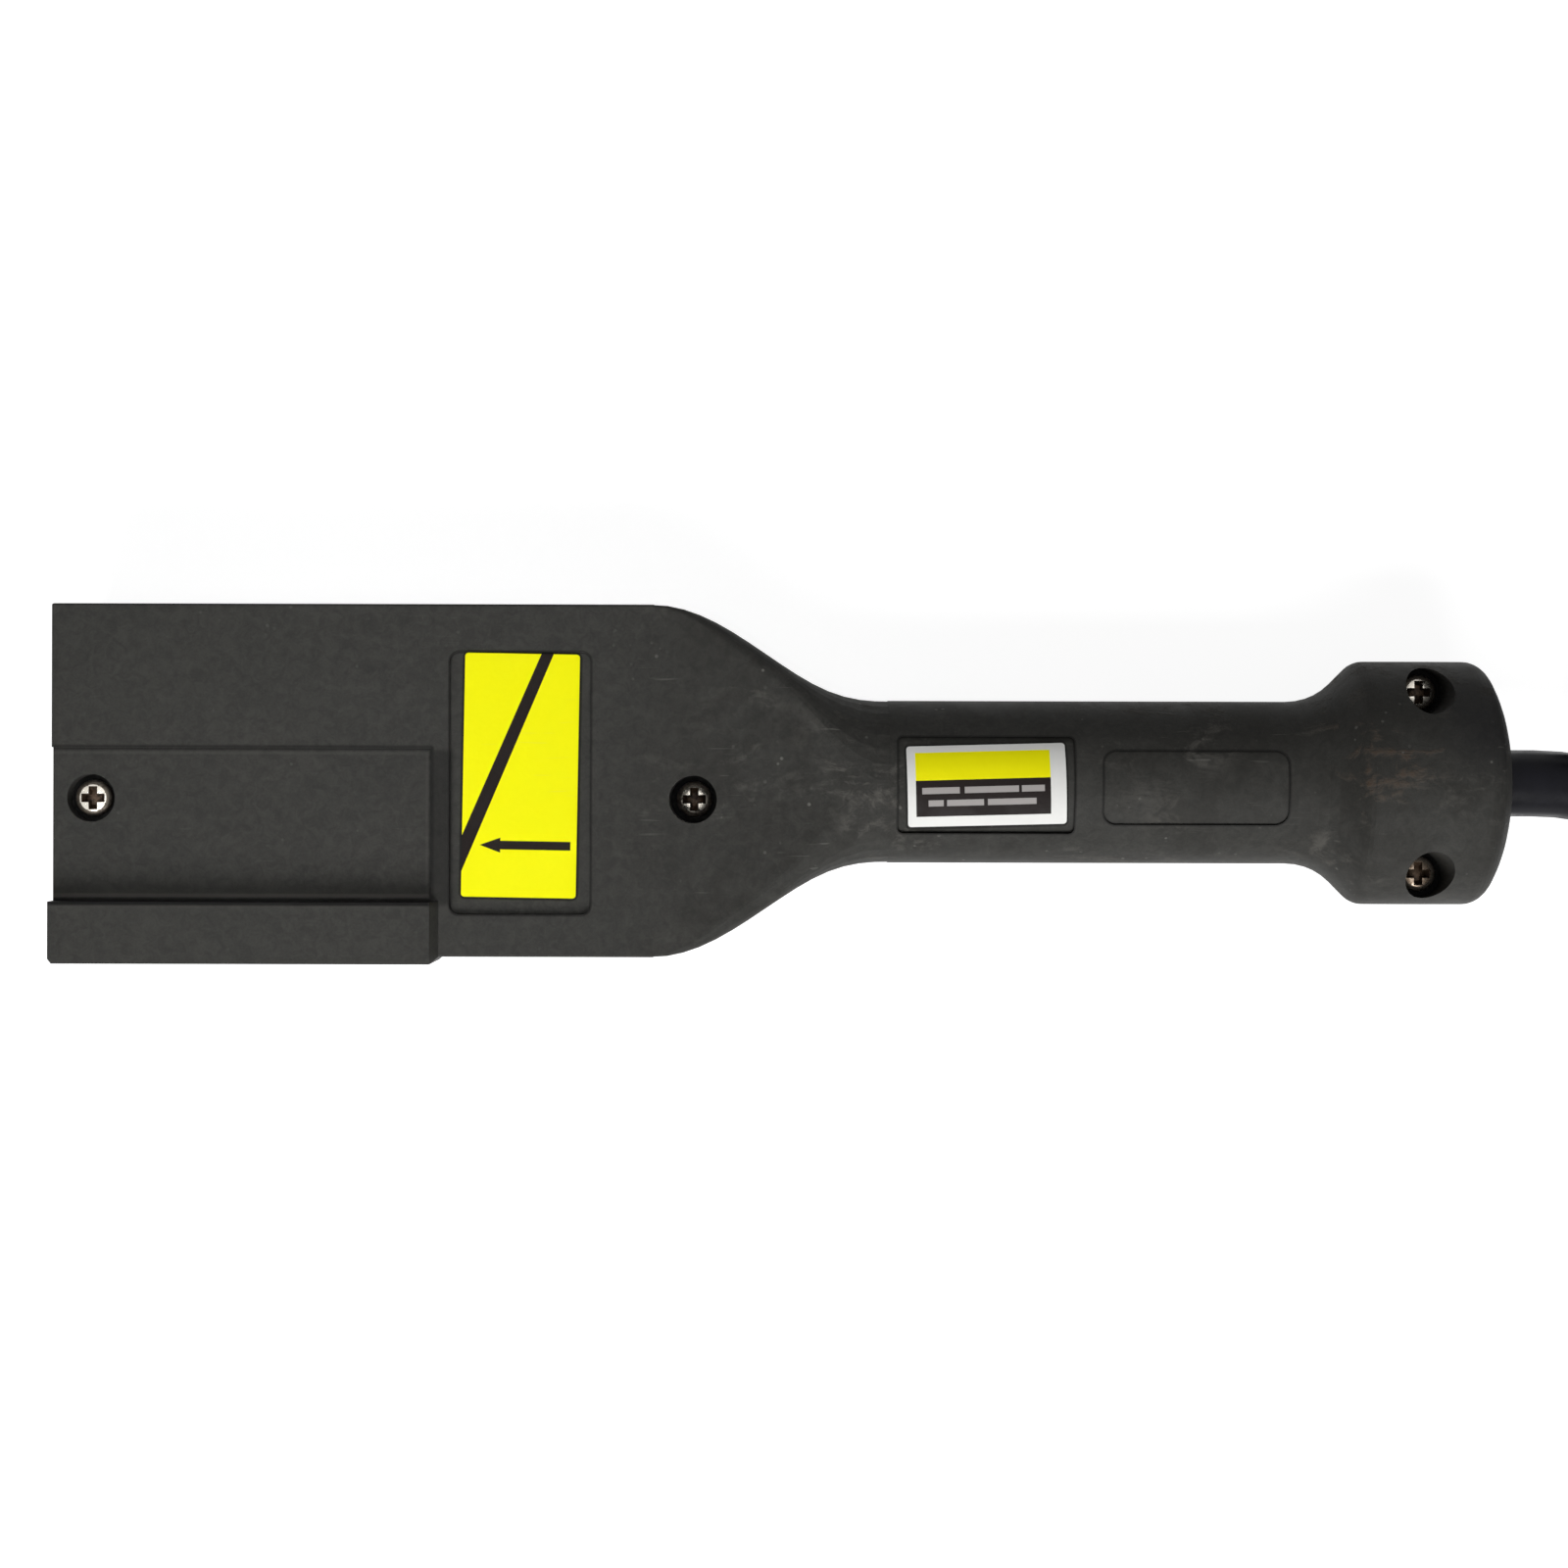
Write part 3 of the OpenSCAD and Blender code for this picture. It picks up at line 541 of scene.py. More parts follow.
@dataclass(frozen=True)
class MouldedPlastic(Finish):
    """Etched black moulding: clean flats, a handled neck and grip, and a parting line.

    Places and sizes are in metres. A stain or a painted shade is a soft round spot with
    its place, its size and how strong it is.
    """

    pale: Tone = DUST_AND_HIGHLIGHT
    grimy: Tone = tone(27, 25, 22)
    stained: Tone = tone(66, 48, 32)
    shaded: Tone = tone(22, 22, 26)
    nicked: Tone = tone(118, 117, 112)
    well_shade: Tone = tone(3, 3, 3)
    seam: Tone = tone(12, 12, 12)
    handled_from: float = -0.04
    handled_to: float = -0.005
    parting: float = 0.02225
    face: float = 0.0305
    stains: tuple[tuple[Spot, float, float], ...] = (
        ((0.1045, 0.0035), 0.014, 0.75), ((0.114, 0.006), 0.008, 0.5))
    shade_spot: tuple[Spot, float, float] = ((0.1255, 0.0105), 0.014, 0.5)
    wells: tuple[str, ...] = ("nose_screw", "neck_screw", "left_clamp_screw",
                              "right_clamp_screw")
    well_radius: float = 0.00432
    well_fade: float = 0.00008
    level_fade: float = 0.0002
    seam_fade: Pair = (0.00006, 0.0002)
    grain_depth: float = 0.00004

    def spot(self, work: Canvas, place: Spot, full: float, none: float,
             most: float = 1.0) -> Socket:
        """Return a round mask about a place, seen from above.

        Args:
            work: the material under way.
            place: the place, in metres.
            full: the distance up to which it is at its most.
            none: the distance from which it is 0.
            most: its most.

        Returns:
            The mask.
        """
        away = work.add("VectorMath", operation="LENGTH")
        near = work.place(work.point, Location=(-place[0], -place[1], 0.0), Scale=(1.0, 1.0, 0.0))
        work.feed(near, away.inputs[0])
        return work.span(away.outputs["Value"], full, none, most, 0.0)

    def corners(self, work: Canvas, height: Socket, base: Socket) -> Socket:
        """Paint shade into the screw wells, the corners round the key plate and the gaps round the
        labels, and paint highlights on the key plate's edges.

        Args:
            work: the material under way.
            height: the height of each point.
            base: the colour so far.

        Returns:
            The colour with the corners.
        """
        over = work.span(height, self.parting, self.parting + self.level_fade)
        for node in self.wells:
            low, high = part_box(node)
            middle = ((low[0] + high[0]) / 2, (low[1] + high[1]) / 2)
            full = self.well_radius - self.well_fade
            # painted shade in each screw's bore
            well = self.spot(work, middle, full, self.well_radius, 0.88)
            base = work.tint(base, self.well_shade, well, over)
        above = work.span(height, self.face - self.level_fade, self.face)
        for mark in EDGE_MARKS:
            base = work.tint(base, mark.colour, mark.mask(work), above, mark.share)
        return base

    def build(self, effects: Effects) -> Material:
        """Make the material: even on the paddle, and worn from the neck on.

        Args:
            effects: the shared node groups.

        Returns:
            The material.
        """
        work = Canvas(self, effects)
        along, _, height = work.axes(work.point)
        handled = work.span(along, self.handled_from, self.handled_to)
        fine = work.effect(effects.mottle, Scale=520.0, Contrast=1.2)
        cloud = work.effect(effects.mottle, Scale=60.0, Contrast=1.5)
        broad = work.effect(effects.mottle, Scale=46.0, Contrast=2.4)
        swirl = work.effect(effects.swirl, Scale=70.0)
        veil = work.product(swirl, work.span(handled, 0.0, 1.0, 0.08, 0.9))
        mottle = work.math("ADD", work.product(cloud, 0.06), work.product(fine, 0.2))
        base = work.tint(self.colour, self.pale, mottle)
        base = work.tint(base, self.grimy, broad, handled, 0.34)
        base = work.tint(base, self.pale, veil)
        for place, size, share in self.stains:
            spot = self.spot(work, place, 0.15 * size, size)
            base = work.tint(base, self.stained, spot, swirl, share)
        # painted shade where the rounded cord end turns away from the light
        place, size, share = self.shade_spot
        base = work.tint(base, self.shaded, self.spot(work, place, 0.15 * size, size), share)
        scuff = work.product(work.effect(effects.scuffs, Scale=75.0, Amount=0.32),
                             work.span(handled, 0.0, 1.0, 0.15, 1.0))
        speck = work.product(work.effect(effects.specks, Scale=520.0, Amount=0.55),
                             work.span(handled, 0.0, 1.0, 0.25, 1.0))
        marks = work.math("MAXIMUM", scuff, speck)
        base = self.corners(work, height, work.tint(base, self.nicked, marks))
        off_seam = work.math("ABSOLUTE", work.math("SUBTRACT", height, self.parting))
        seam = work.span(off_seam, *self.seam_fade, 1.0, 0.0)
        work.shade(work.tint(base, self.seam, seam, 0.85))
        dull = work.math("ADD", work.product(cloud, 0.1), work.product(veil, 0.25))
        work.feed(work.math("ADD", dull, self.rough - 0.05), work.shader.inputs["Roughness"])
        grain = work.effect(effects.grain, Scale=1700.0)
        raised = work.math("ADD", grain, work.product(veil, 2.5))
        sunk = work.math("ADD", work.product(marks, 0.6), work.product(seam, 3.0))
        work.raise_by(work.math("SUBTRACT", raised, sunk), self.grain_depth)
        return work.material


@dataclass(frozen=True)
class CordJacket(Finish):
    """Smooth extruded rubber with a faint bloom."""

    clouds: Pair = (90.0, 1.3)
    other: Tone | None = tone(40, 40, 48)
    patchy: float = 0.2
    gloss: Pair = (0.06, 0.08)
    grain: Pair | None = (900.0, 0.00003)


@dataclass(frozen=True)
class PlatedMetal(Finish):
    """Bright metal with a brownish tarnish in patches."""

    rough: float = 0.34
    metal: float = 1.0
    clouds: Pair = (520.0, 1.6)
    other: Tone | None = tone(122, 96, 66)
    patchy: float = 0.5
    gloss: Pair = (0.06, 0.14)
    grain: Pair | None = (2400.0, 0.000006)


@dataclass(frozen=True)
class PrintedVinyl(Finish):
    """Printed label film with a soft sheen and a few faint rubs."""

    level: float = 0.1
    clouds: Pair = (210.0, 1.0)
    dimmed: float = 0.93
    patchy: float = 0.25
    gloss: Pair = (0.05, 0.09)
    cloud_depth: float | None = 0.00002
    worn: Tone | None = tone(210, 205, 190)


@dataclass(frozen=True)
class WovenWebbing(Finish):
    """Woven strap with its ribs across the band."""

    ribs: tuple[tuple[str, float], ...] = (("X", 420.0), ("DIAGONAL", 300.0))
    raised: Tone = tone(66, 66, 68)
    weave_depth: float = 0.00012

    def build(self, effects: Effects) -> Material:
        """Make the material.

        Args:
            effects: the shared node groups.

        Returns:
            The material.
        """
        work = Canvas(self, effects)
        rows = []
        for direction, scale in self.ribs:
            wave = work.add("TexWave", bands_direction=direction, wave_profile="SIN",
                            Scale=scale, Distortion=0.6)
            work.feed(work.point, wave.inputs["Vector"])
            rows.append(wave.outputs["Fac"])
        weave = work.product(*rows)
        fuzz = work.effect(effects.grain, Scale=2600.0)
        work.shade(work.tint(self.colour, self.raised, weave, 0.6))
        work.raise_by(work.math("ADD", weave, work.product(fuzz, 0.6)), self.weave_depth)
        return work.material


def build_finishes(effects: Effects) -> Finishes:
    """Build every finish.

    Args:
        effects: the shared node groups.

    Returns:
        The material of each slot, and of each finish beside a slot's main one.
    """
    finishes: dict[FinishKey, Finish] = {
        Slot.HANDLE: MouldedPlastic("Moulded handle", tone(48, 48, 46), rough=0.6, level=0.1),
        Slot.SCREW: PlatedMetal("Plated screw", tone(232, 227, 216), rough=0.22, patchy=0.25),
        Slot.COPPER: PlatedMetal("Copper contact", tone(196, 128, 88), other=tone(120, 72, 50)),
        Slot.BRASS: PlatedMetal("Brass contact", tone(206, 176, 104), other=tone(140, 112, 60)),
        Slot.WHITE_WIRE: Finish("White insulation", tone(226, 224, 216), rough=0.42),
        Slot.BLACK_WIRE: Finish("Black insulation", tone(24, 24, 25), rough=0.42),
        Slot.GREEN_WIRE: Finish("Green insulation", tone(38, 110, 62), rough=0.42),
        Slot.JACKET: CordJacket("Cord jacket", tone(12, 12, 17), rough=0.36, level=0.1),
        Slot.YELLOW: PrintedVinyl("Yellow film", tone(255, 252, 2)),
        Slot.WHITE: PrintedVinyl("White film", tone(234, 234, 231), rough=0.45),
        Slot.WEBBING: WovenWebbing("Tie webbing", tone(38, 38, 40), rough=0.86, level=0.2),
        Slot.SLEEVE: CordJacket("Shrink sleeve", tone(20, 20, 21), level=0.3),
        Slot.TINNED: PlatedMetal("Tinned terminal", tone(206, 206, 203),
                                 other=tone(150, 144, 130), patchy=0.35),
        Extra.BLACK_INK: PrintedVinyl("Black ink", tone(26, 20, 19), worn=tone(60, 54, 48)),
        Extra.YELLOW_INK: PrintedVinyl("Yellow ink", tone(252, 246, 4)),
        Extra.GREY_INK: PrintedVinyl("Grey ink", tone(164, 160, 158)),
        # real tarnish, darkened further as painted shade of the deep bore
        Extra.TARNISHED_AND_SHADED: PlatedMetal("Tarnished and shaded screw", tone(206, 188, 168), rough=0.3,
                                     other=tone(78, 58, 42), patchy=0.8),
        Extra.RIM: PlatedMetal("Painted rim shade", tone(120, 112, 102), rough=0.5, metal=0.8,
                               other=tone(40, 34, 28), patchy=0.7),
        Extra.RECESS: PlatedMetal("Grime and painted recess shade", tone(84, 66, 50), rough=0.5, metal=0.6,
                                  other=tone(20, 16, 14), patchy=0.9),
    }
    return {key: finish.build(effects) for key, finish in finishes.items()}


# ------------------------------------------------------------------ the pieces


def register(piece: Piece, slot: Slot, replaces: tuple[str, ...]) -> Piece:
    """Let a piece ride on the part, hide what it stands for and name that.

    Args:
        piece: the new piece.
        slot: the record's slot that its finish comes from; not used.
        replaces: the CAD nodes that it stands for.

    Returns:
        The piece.
    """
    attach(piece, BODY)
    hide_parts(*replaces)
    log.info("%s stands for %s", piece.name, ", ".join(replaces))
    return piece


def place_piece(name: str, mesh: bmesh.types.BMesh, materials: list[Material], slot: Slot,
                replaces: tuple[str, ...], smooth: float = 35.0) -> Piece:
    """Turn a finished bmesh into a piece of the part.

    Args:
        name: the piece's name.
        mesh: the bmesh, in metres, which is freed.
        materials: its finishes, in the order of the faces' indices.
        slot: the record's slot that the finish comes from.
        replaces: the CAD nodes that it stands for.
        smooth: the angle, in degrees, under which edges are smooth.

    Returns:
        The piece.
    """
    bmesh.ops.recalc_face_normals(mesh, faces=mesh.faces)
    data = bpy.data.meshes.new(name)
    mesh.to_mesh(data)
    mesh.free()
    for material in materials:
        data.materials.append(material)
    data.shade_smooth()
    data.set_sharp_from_angle(angle=math.radians(smooth))
    return register(link_object(name, data), slot, replaces)


def turned(outline: Sequence[Spot], axis: Vector, steps: int) -> bmesh.types.BMesh:
    """Turn a half outline round an axis through the origin.

    Args:
        outline: each point's distance from the axis, and its place along it.
        axis: the axis, X or Z.
        steps: how many steps the full turn has.

    Returns:
        The turned shape.
    """
    mesh = bmesh.new()
    line = [mesh.verts.new(axis.zxy * r + axis * along) for r, along in outline]
    edges = [mesh.edges.new(pair) for pair in zip(line, line[1:])]
    bmesh.ops.spin(mesh, geom=line + edges, axis=axis, cent=(0.0, 0.0, 0.0), angle=math.tau,
                   steps=steps, use_merge=True)
    bmesh.ops.remove_doubles(mesh, verts=mesh.verts, dist=MERGE)
    return mesh


@dataclass
class Lead:
    """A round conductor or cord laid along a line of points, in metres."""

    name: str
    points: list[Vector]
    diameter: float
    slot: Slot
    replaces: tuple[str, ...]
    sides: int = 4

    def build(self, finishes: Finishes) -> Piece:
        """Lay the lead as one open curve with a round section.

        Args:
            finishes: every finish.

        Returns:
            The piece.
        """
        data = bpy.data.curves.new(self.name, "CURVE")
        data.dimensions = "3D"
        spline = data.splines.new("POLY")
        spline.points.add(len(self.points) - 1)
        for knot, point in zip(spline.points, self.points):
            knot.co = (*point, 1.0)
        spline.use_smooth = True
        data.bevel_depth = self.diameter / 2
        data.bevel_resolution = self.sides
        data.use_fill_caps = True
        data.materials.append(finishes[self.slot])
        return register(link_object(self.name, data), self.slot, self.replaces)


@dataclass(frozen=True)
class PrintField:
    """A printed field: a convex polygon in the label's own millimetres, and its ink."""

    corners: tuple[Spot, ...]
    ink: Extra

    def edges(self) -> list[tuple[Vector, Vector]]:
        """Return each edge's start and direction."""
        spots = [Vector((x, y, 0.0)) for x, y in self.corners]
        return [(a, b - a) for a, b in zip(spots, spots[1:] + spots[:1])]

    def holds(self, spot: Vector) -> bool:
        """Tell whether a point lies in the polygon."""
        sides = [way.x * (spot.y - at.y) - way.y * (spot.x - at.x) for at, way in self.edges()]
        return all(side > 0 for side in sides) or all(side < 0 for side in sides)


def bar(low_x: float, low_y: float, high_x: float, high_y: float, ink: Extra) -> PrintField:
    """Return an upright rectangle as a printed field."""
    return PrintField(((low_x, low_y), (high_x, low_y), (high_x, high_y), (low_x, high_y)), ink)


@dataclass(frozen=True)
class PrintedLabel:
    """A film label with printed fields, laid flat or round the grip; in millimetres."""

    node: str
    slot: Slot
    size: Pair
    centre: Spot
    turn: float
    under: float
    inks: tuple[Extra, ...]
    fields: tuple[PrintField, ...]
    axis_z: float | None = None
    thick: float = 0.3
    corner: float = 0.6
    corner_steps: int = 4

    def outline(self) -> list[Spot]:
        """Return the outline's points, with round corners."""
        wide, tall = (side / 2 - self.corner for side in self.size)
        points = []
        for k, (sx, sy) in enumerate(((1, 1), (-1, 1), (-1, -1), (1, -1))):
            for j in range(self.corner_steps + 1):
                a = math.radians(90 * (k + j / self.corner_steps))
                points.append((sx * wide + self.corner * math.cos(a),
                               sy * tall + self.corner * math.sin(a)))
        return points

    def lay(self, spot: Vector) -> Vector:
        """Return a point of the flat label in its place on the part.

        Args:
            spot: the point, in the label's own millimetres.

        Returns:
            Its place, in metres.
        """
        a = math.radians(self.turn)
        x = self.centre[0] + spot.x * math.cos(a) - spot.y * math.sin(a)
        y = self.centre[1] + spot.x * math.sin(a) + spot.y * math.cos(a)
        r = self.under + spot.z
        if self.axis_z is None:
            return mm(x, y, r)
        round_by = y / (self.under + self.thick)
        return mm(x, r * math.sin(round_by), self.axis_z + r * math.cos(round_by))

    def build(self, finishes: Finishes) -> Piece:
        """Cut the film, print its fields and lay it on the part.

        Args:
            finishes: every finish.

        Returns:
            The piece.
        """
        mesh = bmesh.new()
        mesh.faces.new([mesh.verts.new((x, y, 0.0)) for x, y in self.outline()])
        cuts = [edge for place in self.fields for edge in place.edges()]
        if self.axis_z is not None:
            rows = round(self.size[1])
            cuts += [(Vector((0.0, (k / rows - 0.5) * self.size[1], 0.0)), Vector((1.0, 0.0, 0.0)))
                     for k in range(1, rows)]
        for at, way in cuts:
            bmesh.ops.bisect_plane(mesh, geom=mesh.verts[:] + mesh.edges[:] + mesh.faces[:],
                                   plane_co=at, plane_no=(way.y, -way.x, 0.0), dist=MERGE)
        for face in mesh.faces:
            for place in self.fields:
                if place.holds(face.calc_center_median()):
                    face.material_index = 1 + self.inks.index(place.ink)
        raised = bmesh.ops.extrude_face_region(mesh, geom=mesh.faces[:])
        tops = [v for v in raised["geom"] if isinstance(v, bmesh.types.BMVert)]
        bmesh.ops.translate(mesh, verts=tops, vec=(0.0, 0.0, self.thick))
        for vert in mesh.verts:
            vert.co = self.lay(vert.co)
        return place_piece(self.node + "_film", mesh,
                           [finishes[key] for key in (self.slot, *self.inks)], self.slot,
                           (self.node,))


@dataclass(frozen=True)
class CrossHeadScrew:
    """A pan-head screw with a stamped cross recess, in its CAD solid's place; millimetres."""

    node: str
    plating: FinishKey = Slot.SCREW
    head_high: float = 2.4
    dome_high: float = 1.32
    dome_power: float = 0.6
    dome_angles: tuple[int, ...] = (90, 78, 66, 54, 42, 30, 20, 12, 6)
    wall_high: float = 0.96
    chamfer: float = 0.15
    shank: float = 3.5
    point: Pair = (0.5, 2.0)
    arm: Pair = (2.1, 0.78)
    depth: float = 1.4
    dome_deep: float = 1.3
    bright: float = 2.35
    taper: float = 0.62
    steps: int = 48
    zones: tuple[Extra, ...] = (Extra.RECESS, Extra.RIM)

    def profile(self, radius: float, top: float, low: float) -> list[Spot]:
        """Return the screw's half outline.

        Args:
            radius: the radius of the head.
            top: the height of the head's top.
            low: the height of the screw's point.

        Returns:
            Radii and heights, from the top of the axis to the point.
        """
        dome = [(radius * math.cos(a), top - self.dome_high * (1 - math.sin(a) ** self.dome_power))
                for a in map(math.radians, self.dome_angles)]
        seat, r = top - self.head_high, self.shank / 2
        blunt, long = self.point
        return dome + [(radius, seat + self.wall_high), (radius, seat + self.chamfer),
                       (radius - self.chamfer, seat), (r, seat), (r, low + long), (blunt, low),
                       (0.0, low)]

    def build(self, finishes: Finishes) -> Piece:
        """Turn the screw, stamp its recess and set it in its bore.

        Args:
            finishes: every finish.

        Returns:
            The piece.
        """
        low, high = (Vector(corner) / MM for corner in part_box(self.node))
        middle, radius = (low + high) / 2, (high.x - low.x) / 2
        mesh = turned(self.profile(radius, high.z, low.z), Vector((0.0, 0.0, 1.0)), self.steps)
        for k in range(4):
            a = math.radians(90 * k)
            way = Vector((math.cos(a), math.sin(a), 0.0))
            for far in reversed(self.arm):
                near = [f for f in mesh.faces
                        if f.calc_center_median().z > high.z - self.dome_deep]
                sides = {e for f in near for e in f.edges}
                dots = {v for f in near for v in f.verts}
                bmesh.ops.bisect_plane(mesh, geom=list(dots) + list(sides) + near,
                                       plane_co=way * far, plane_no=way, dist=MERGE)
        bmesh.ops.recalc_face_normals(mesh, faces=mesh.faces)
        # painted shade on the head outside its lit middle
        for face in mesh.faces:
            if Vector(face.calc_center_median().xy).length > self.bright:
                face.material_index = 1 + self.zones.index(Extra.RIM)
        self.stamp(mesh, high.z)
        bmesh.ops.translate(mesh, verts=mesh.verts, vec=(middle.x, middle.y, 0.0))
        bmesh.ops.scale(mesh, verts=mesh.verts, vec=(MM, MM, MM))
        return place_piece(self.node + "_head_and_shank", mesh,
                           [finishes[key] for key in (self.plating, *self.zones)], Slot.SCREW,
                           (self.node,), smooth=30.0)

    def stamp(self, mesh: bmesh.types.BMesh, top: float) -> None:
        """Push the cross down into the head, narrower towards its floor.

        Args:
            mesh: the screw, about its own axis and in millimetres.
            top: the height of the head's top.
        """
        reach, half = self.arm
        cross = []
        for face in mesh.faces:
            at = face.calc_center_median()
            near, far = sorted((abs(at.x), abs(at.y)))
            if at.z > top - self.dome_deep and far < reach and near < half:
                cross.append(face)
        sunk = bmesh.ops.extrude_face_region(mesh, geom=cross)
        bmesh.ops.delete(mesh, geom=cross, context="FACES")
        floor = [v for v in sunk["geom"] if isinstance(v, bmesh.types.BMVert)]
        bmesh.ops.translate(mesh, verts=floor, vec=(0.0, 0.0, -self.depth))
        bmesh.ops.scale(mesh, verts=floor, vec=(self.taper, self.taper, 1.0))
        # the recess gets grime and painted shade
        for face in {f for v in floor for f in v.link_faces}:
            face.material_index = 1 + self.zones.index(Extra.RECESS)


@dataclass(frozen=True)
class StrapTie:
    """A webbing strap wound round one run of the hank, its end over its start.

    Sizes are in millimetres. The section is in shares of the width and the
    thickness, and so is the lift of the end.
    """

    side: int
    low: Pair
    high: Pair
    middle_x: float
    width: float = 12.0
    thick: float = 1.0
    corner: float = 6.1
    overlap: float = 0.36
    climb_from: float = 0.92
    lift: float = 1.1
    section: tuple[Pair, ...] = ((-0.5, 0.0), (-0.46, 1.0), (0.46, 1.0), (0.5, 0.0))
    steps: int = 132

    def loop(self, share: float, out: float) -> Vector:
        """Return a point of the loop round the run.

        Args:
            share: how far round it is, 1 for once round.
            out: how far it stands off the run.

        Returns:
            The point, at the middle of the strap's width.
        """
        (y0, z0), (y1, z1), r = self.low, self.high, self.corner
        wide, tall, bend = y1 - y0 - 2 * r, z1 - z0 - 2 * r, math.pi * r / 2
        left = (share % 1.0) * 2 * (wide + tall + 2 * bend)
        sides = ((y1 - r, z1 - r, 90.0, wide, (-1, 0)), (y1 - r, z0 + r, 0.0, tall, (0, 1)),
                 (y0 + r, z0 + r, -90.0, wide, (1, 0)), (y0 + r, z1 - r, 180.0, tall, (0, -1)))
        for y, z, start, run, back in sides:
            a = math.radians(start) - max(0.0, min(left - run, bend)) / r
            if left <= run + bend:
                rest = max(0.0, run - left)
                return mm(self.middle_x, y + rest * back[0] + (r + out) * math.cos(a),
                          z + rest * back[1] + (r + out) * math.sin(a))
            left -= run + bend
        return mm(self.middle_x, y1 - r, z1 + out)

    def build(self, finishes: Finishes) -> Piece:
        """Wind the strap.

        Args:
            finishes: every finish.

        Returns:
            The piece.
        """
        mesh, rows = bmesh.new(), []
        for k in range(self.steps + 1):
            share = k / self.steps * (1 + self.overlap)
            climbed = smooth_step((share - self.climb_from) / (1 - self.climb_from))
            row = []
            for across, out in self.section:
                at = self.loop(share, (out + self.lift * climbed) * self.thick)
                at.x += across * self.width * MM
                if self.side > 0:
                    at.y = (self.low[0] + self.high[0]) * MM - at.y
                row.append(mesh.verts.new(at))
            rows.append(row)
        for here, there in zip(rows, rows[1:]):
            for k in range(4):
                mesh.faces.new((here[k], here[(k + 1) % 4], there[(k + 1) % 4], there[k]))
        mesh.faces.new(rows[0])
        mesh.faces.new(rows[-1][::-1])
        name = f"strap_tie_{'near' if self.side < 0 else 'far'}"
        return place_piece(name, mesh, [finishes[Slot.WEBBING]], Slot.WEBBING, ("hank_ties",),
                           smooth=50.0)


@dataclass(frozen=True)
class ShrunkSleeve:
    """The sleeve shrunk over the jacket's end and the conductors; in millimetres."""

    start: Spot3
    outline: tuple[Spot, ...] = (
        (6.15, 0.0), (6.85, 0.15), (7.0, 0.7), (6.96, 5.0), (6.99, 10.0), (6.95, 15.6),
        (6.86, 17.4), (6.55, 19.4), (6.1, 21.6), (5.8, 24.0), (5.68, 27.0), (5.7, 31.4),
        (5.55, 31.9), (5.2, 32.0), (0.0, 32.0))
    steps: int = 40

    def build(self, finishes: Finishes) -> Piece:
        """Turn the sleeve and set it on the cord's end.

        Args:
            finishes: every finish.

        Returns:
            The piece.
        """
        mesh = turned(self.outline, Vector((1.0, 0.0, 0.0)), self.steps)
        bmesh.ops.scale(mesh, verts=mesh.verts, vec=(MM, MM, MM))
        bmesh.ops.translate(mesh, verts=mesh.verts, vec=mm(*self.start))
        return place_piece("shrunk_sleeve", mesh, [finishes[Slot.SLEEVE]], Slot.SLEEVE,
                           ("breakout_sleeve",), smooth=40.0)


def even_points(knots: list[Vector], step: float) -> list[Vector]:
    """Return points along a smooth curve through the knots.

    Args:
        knots: points that the curve passes through.
        step: about how far apart the points are.

    Returns:
        The points, with both ends kept.
    """
    out: list[Vector] = []
    for k in range(len(knots) - 1):
        before = knots[max(k - 1, 0)]
        here, there = knots[k], knots[k + 1]
        after = knots[min(k + 2, len(knots) - 1)]
        pieces = max(1, round((there - here).length / step))
        for j in range(pieces):
            t = j / pieces
            out.append(0.5 * (2 * here + (there - before) * t
                              + (2 * before - 5 * here + 4 * there - after) * t * t
                              + (3 * here - before - 3 * there + after) * t ** 3))
    out.append(knots[-1].copy())
    return out


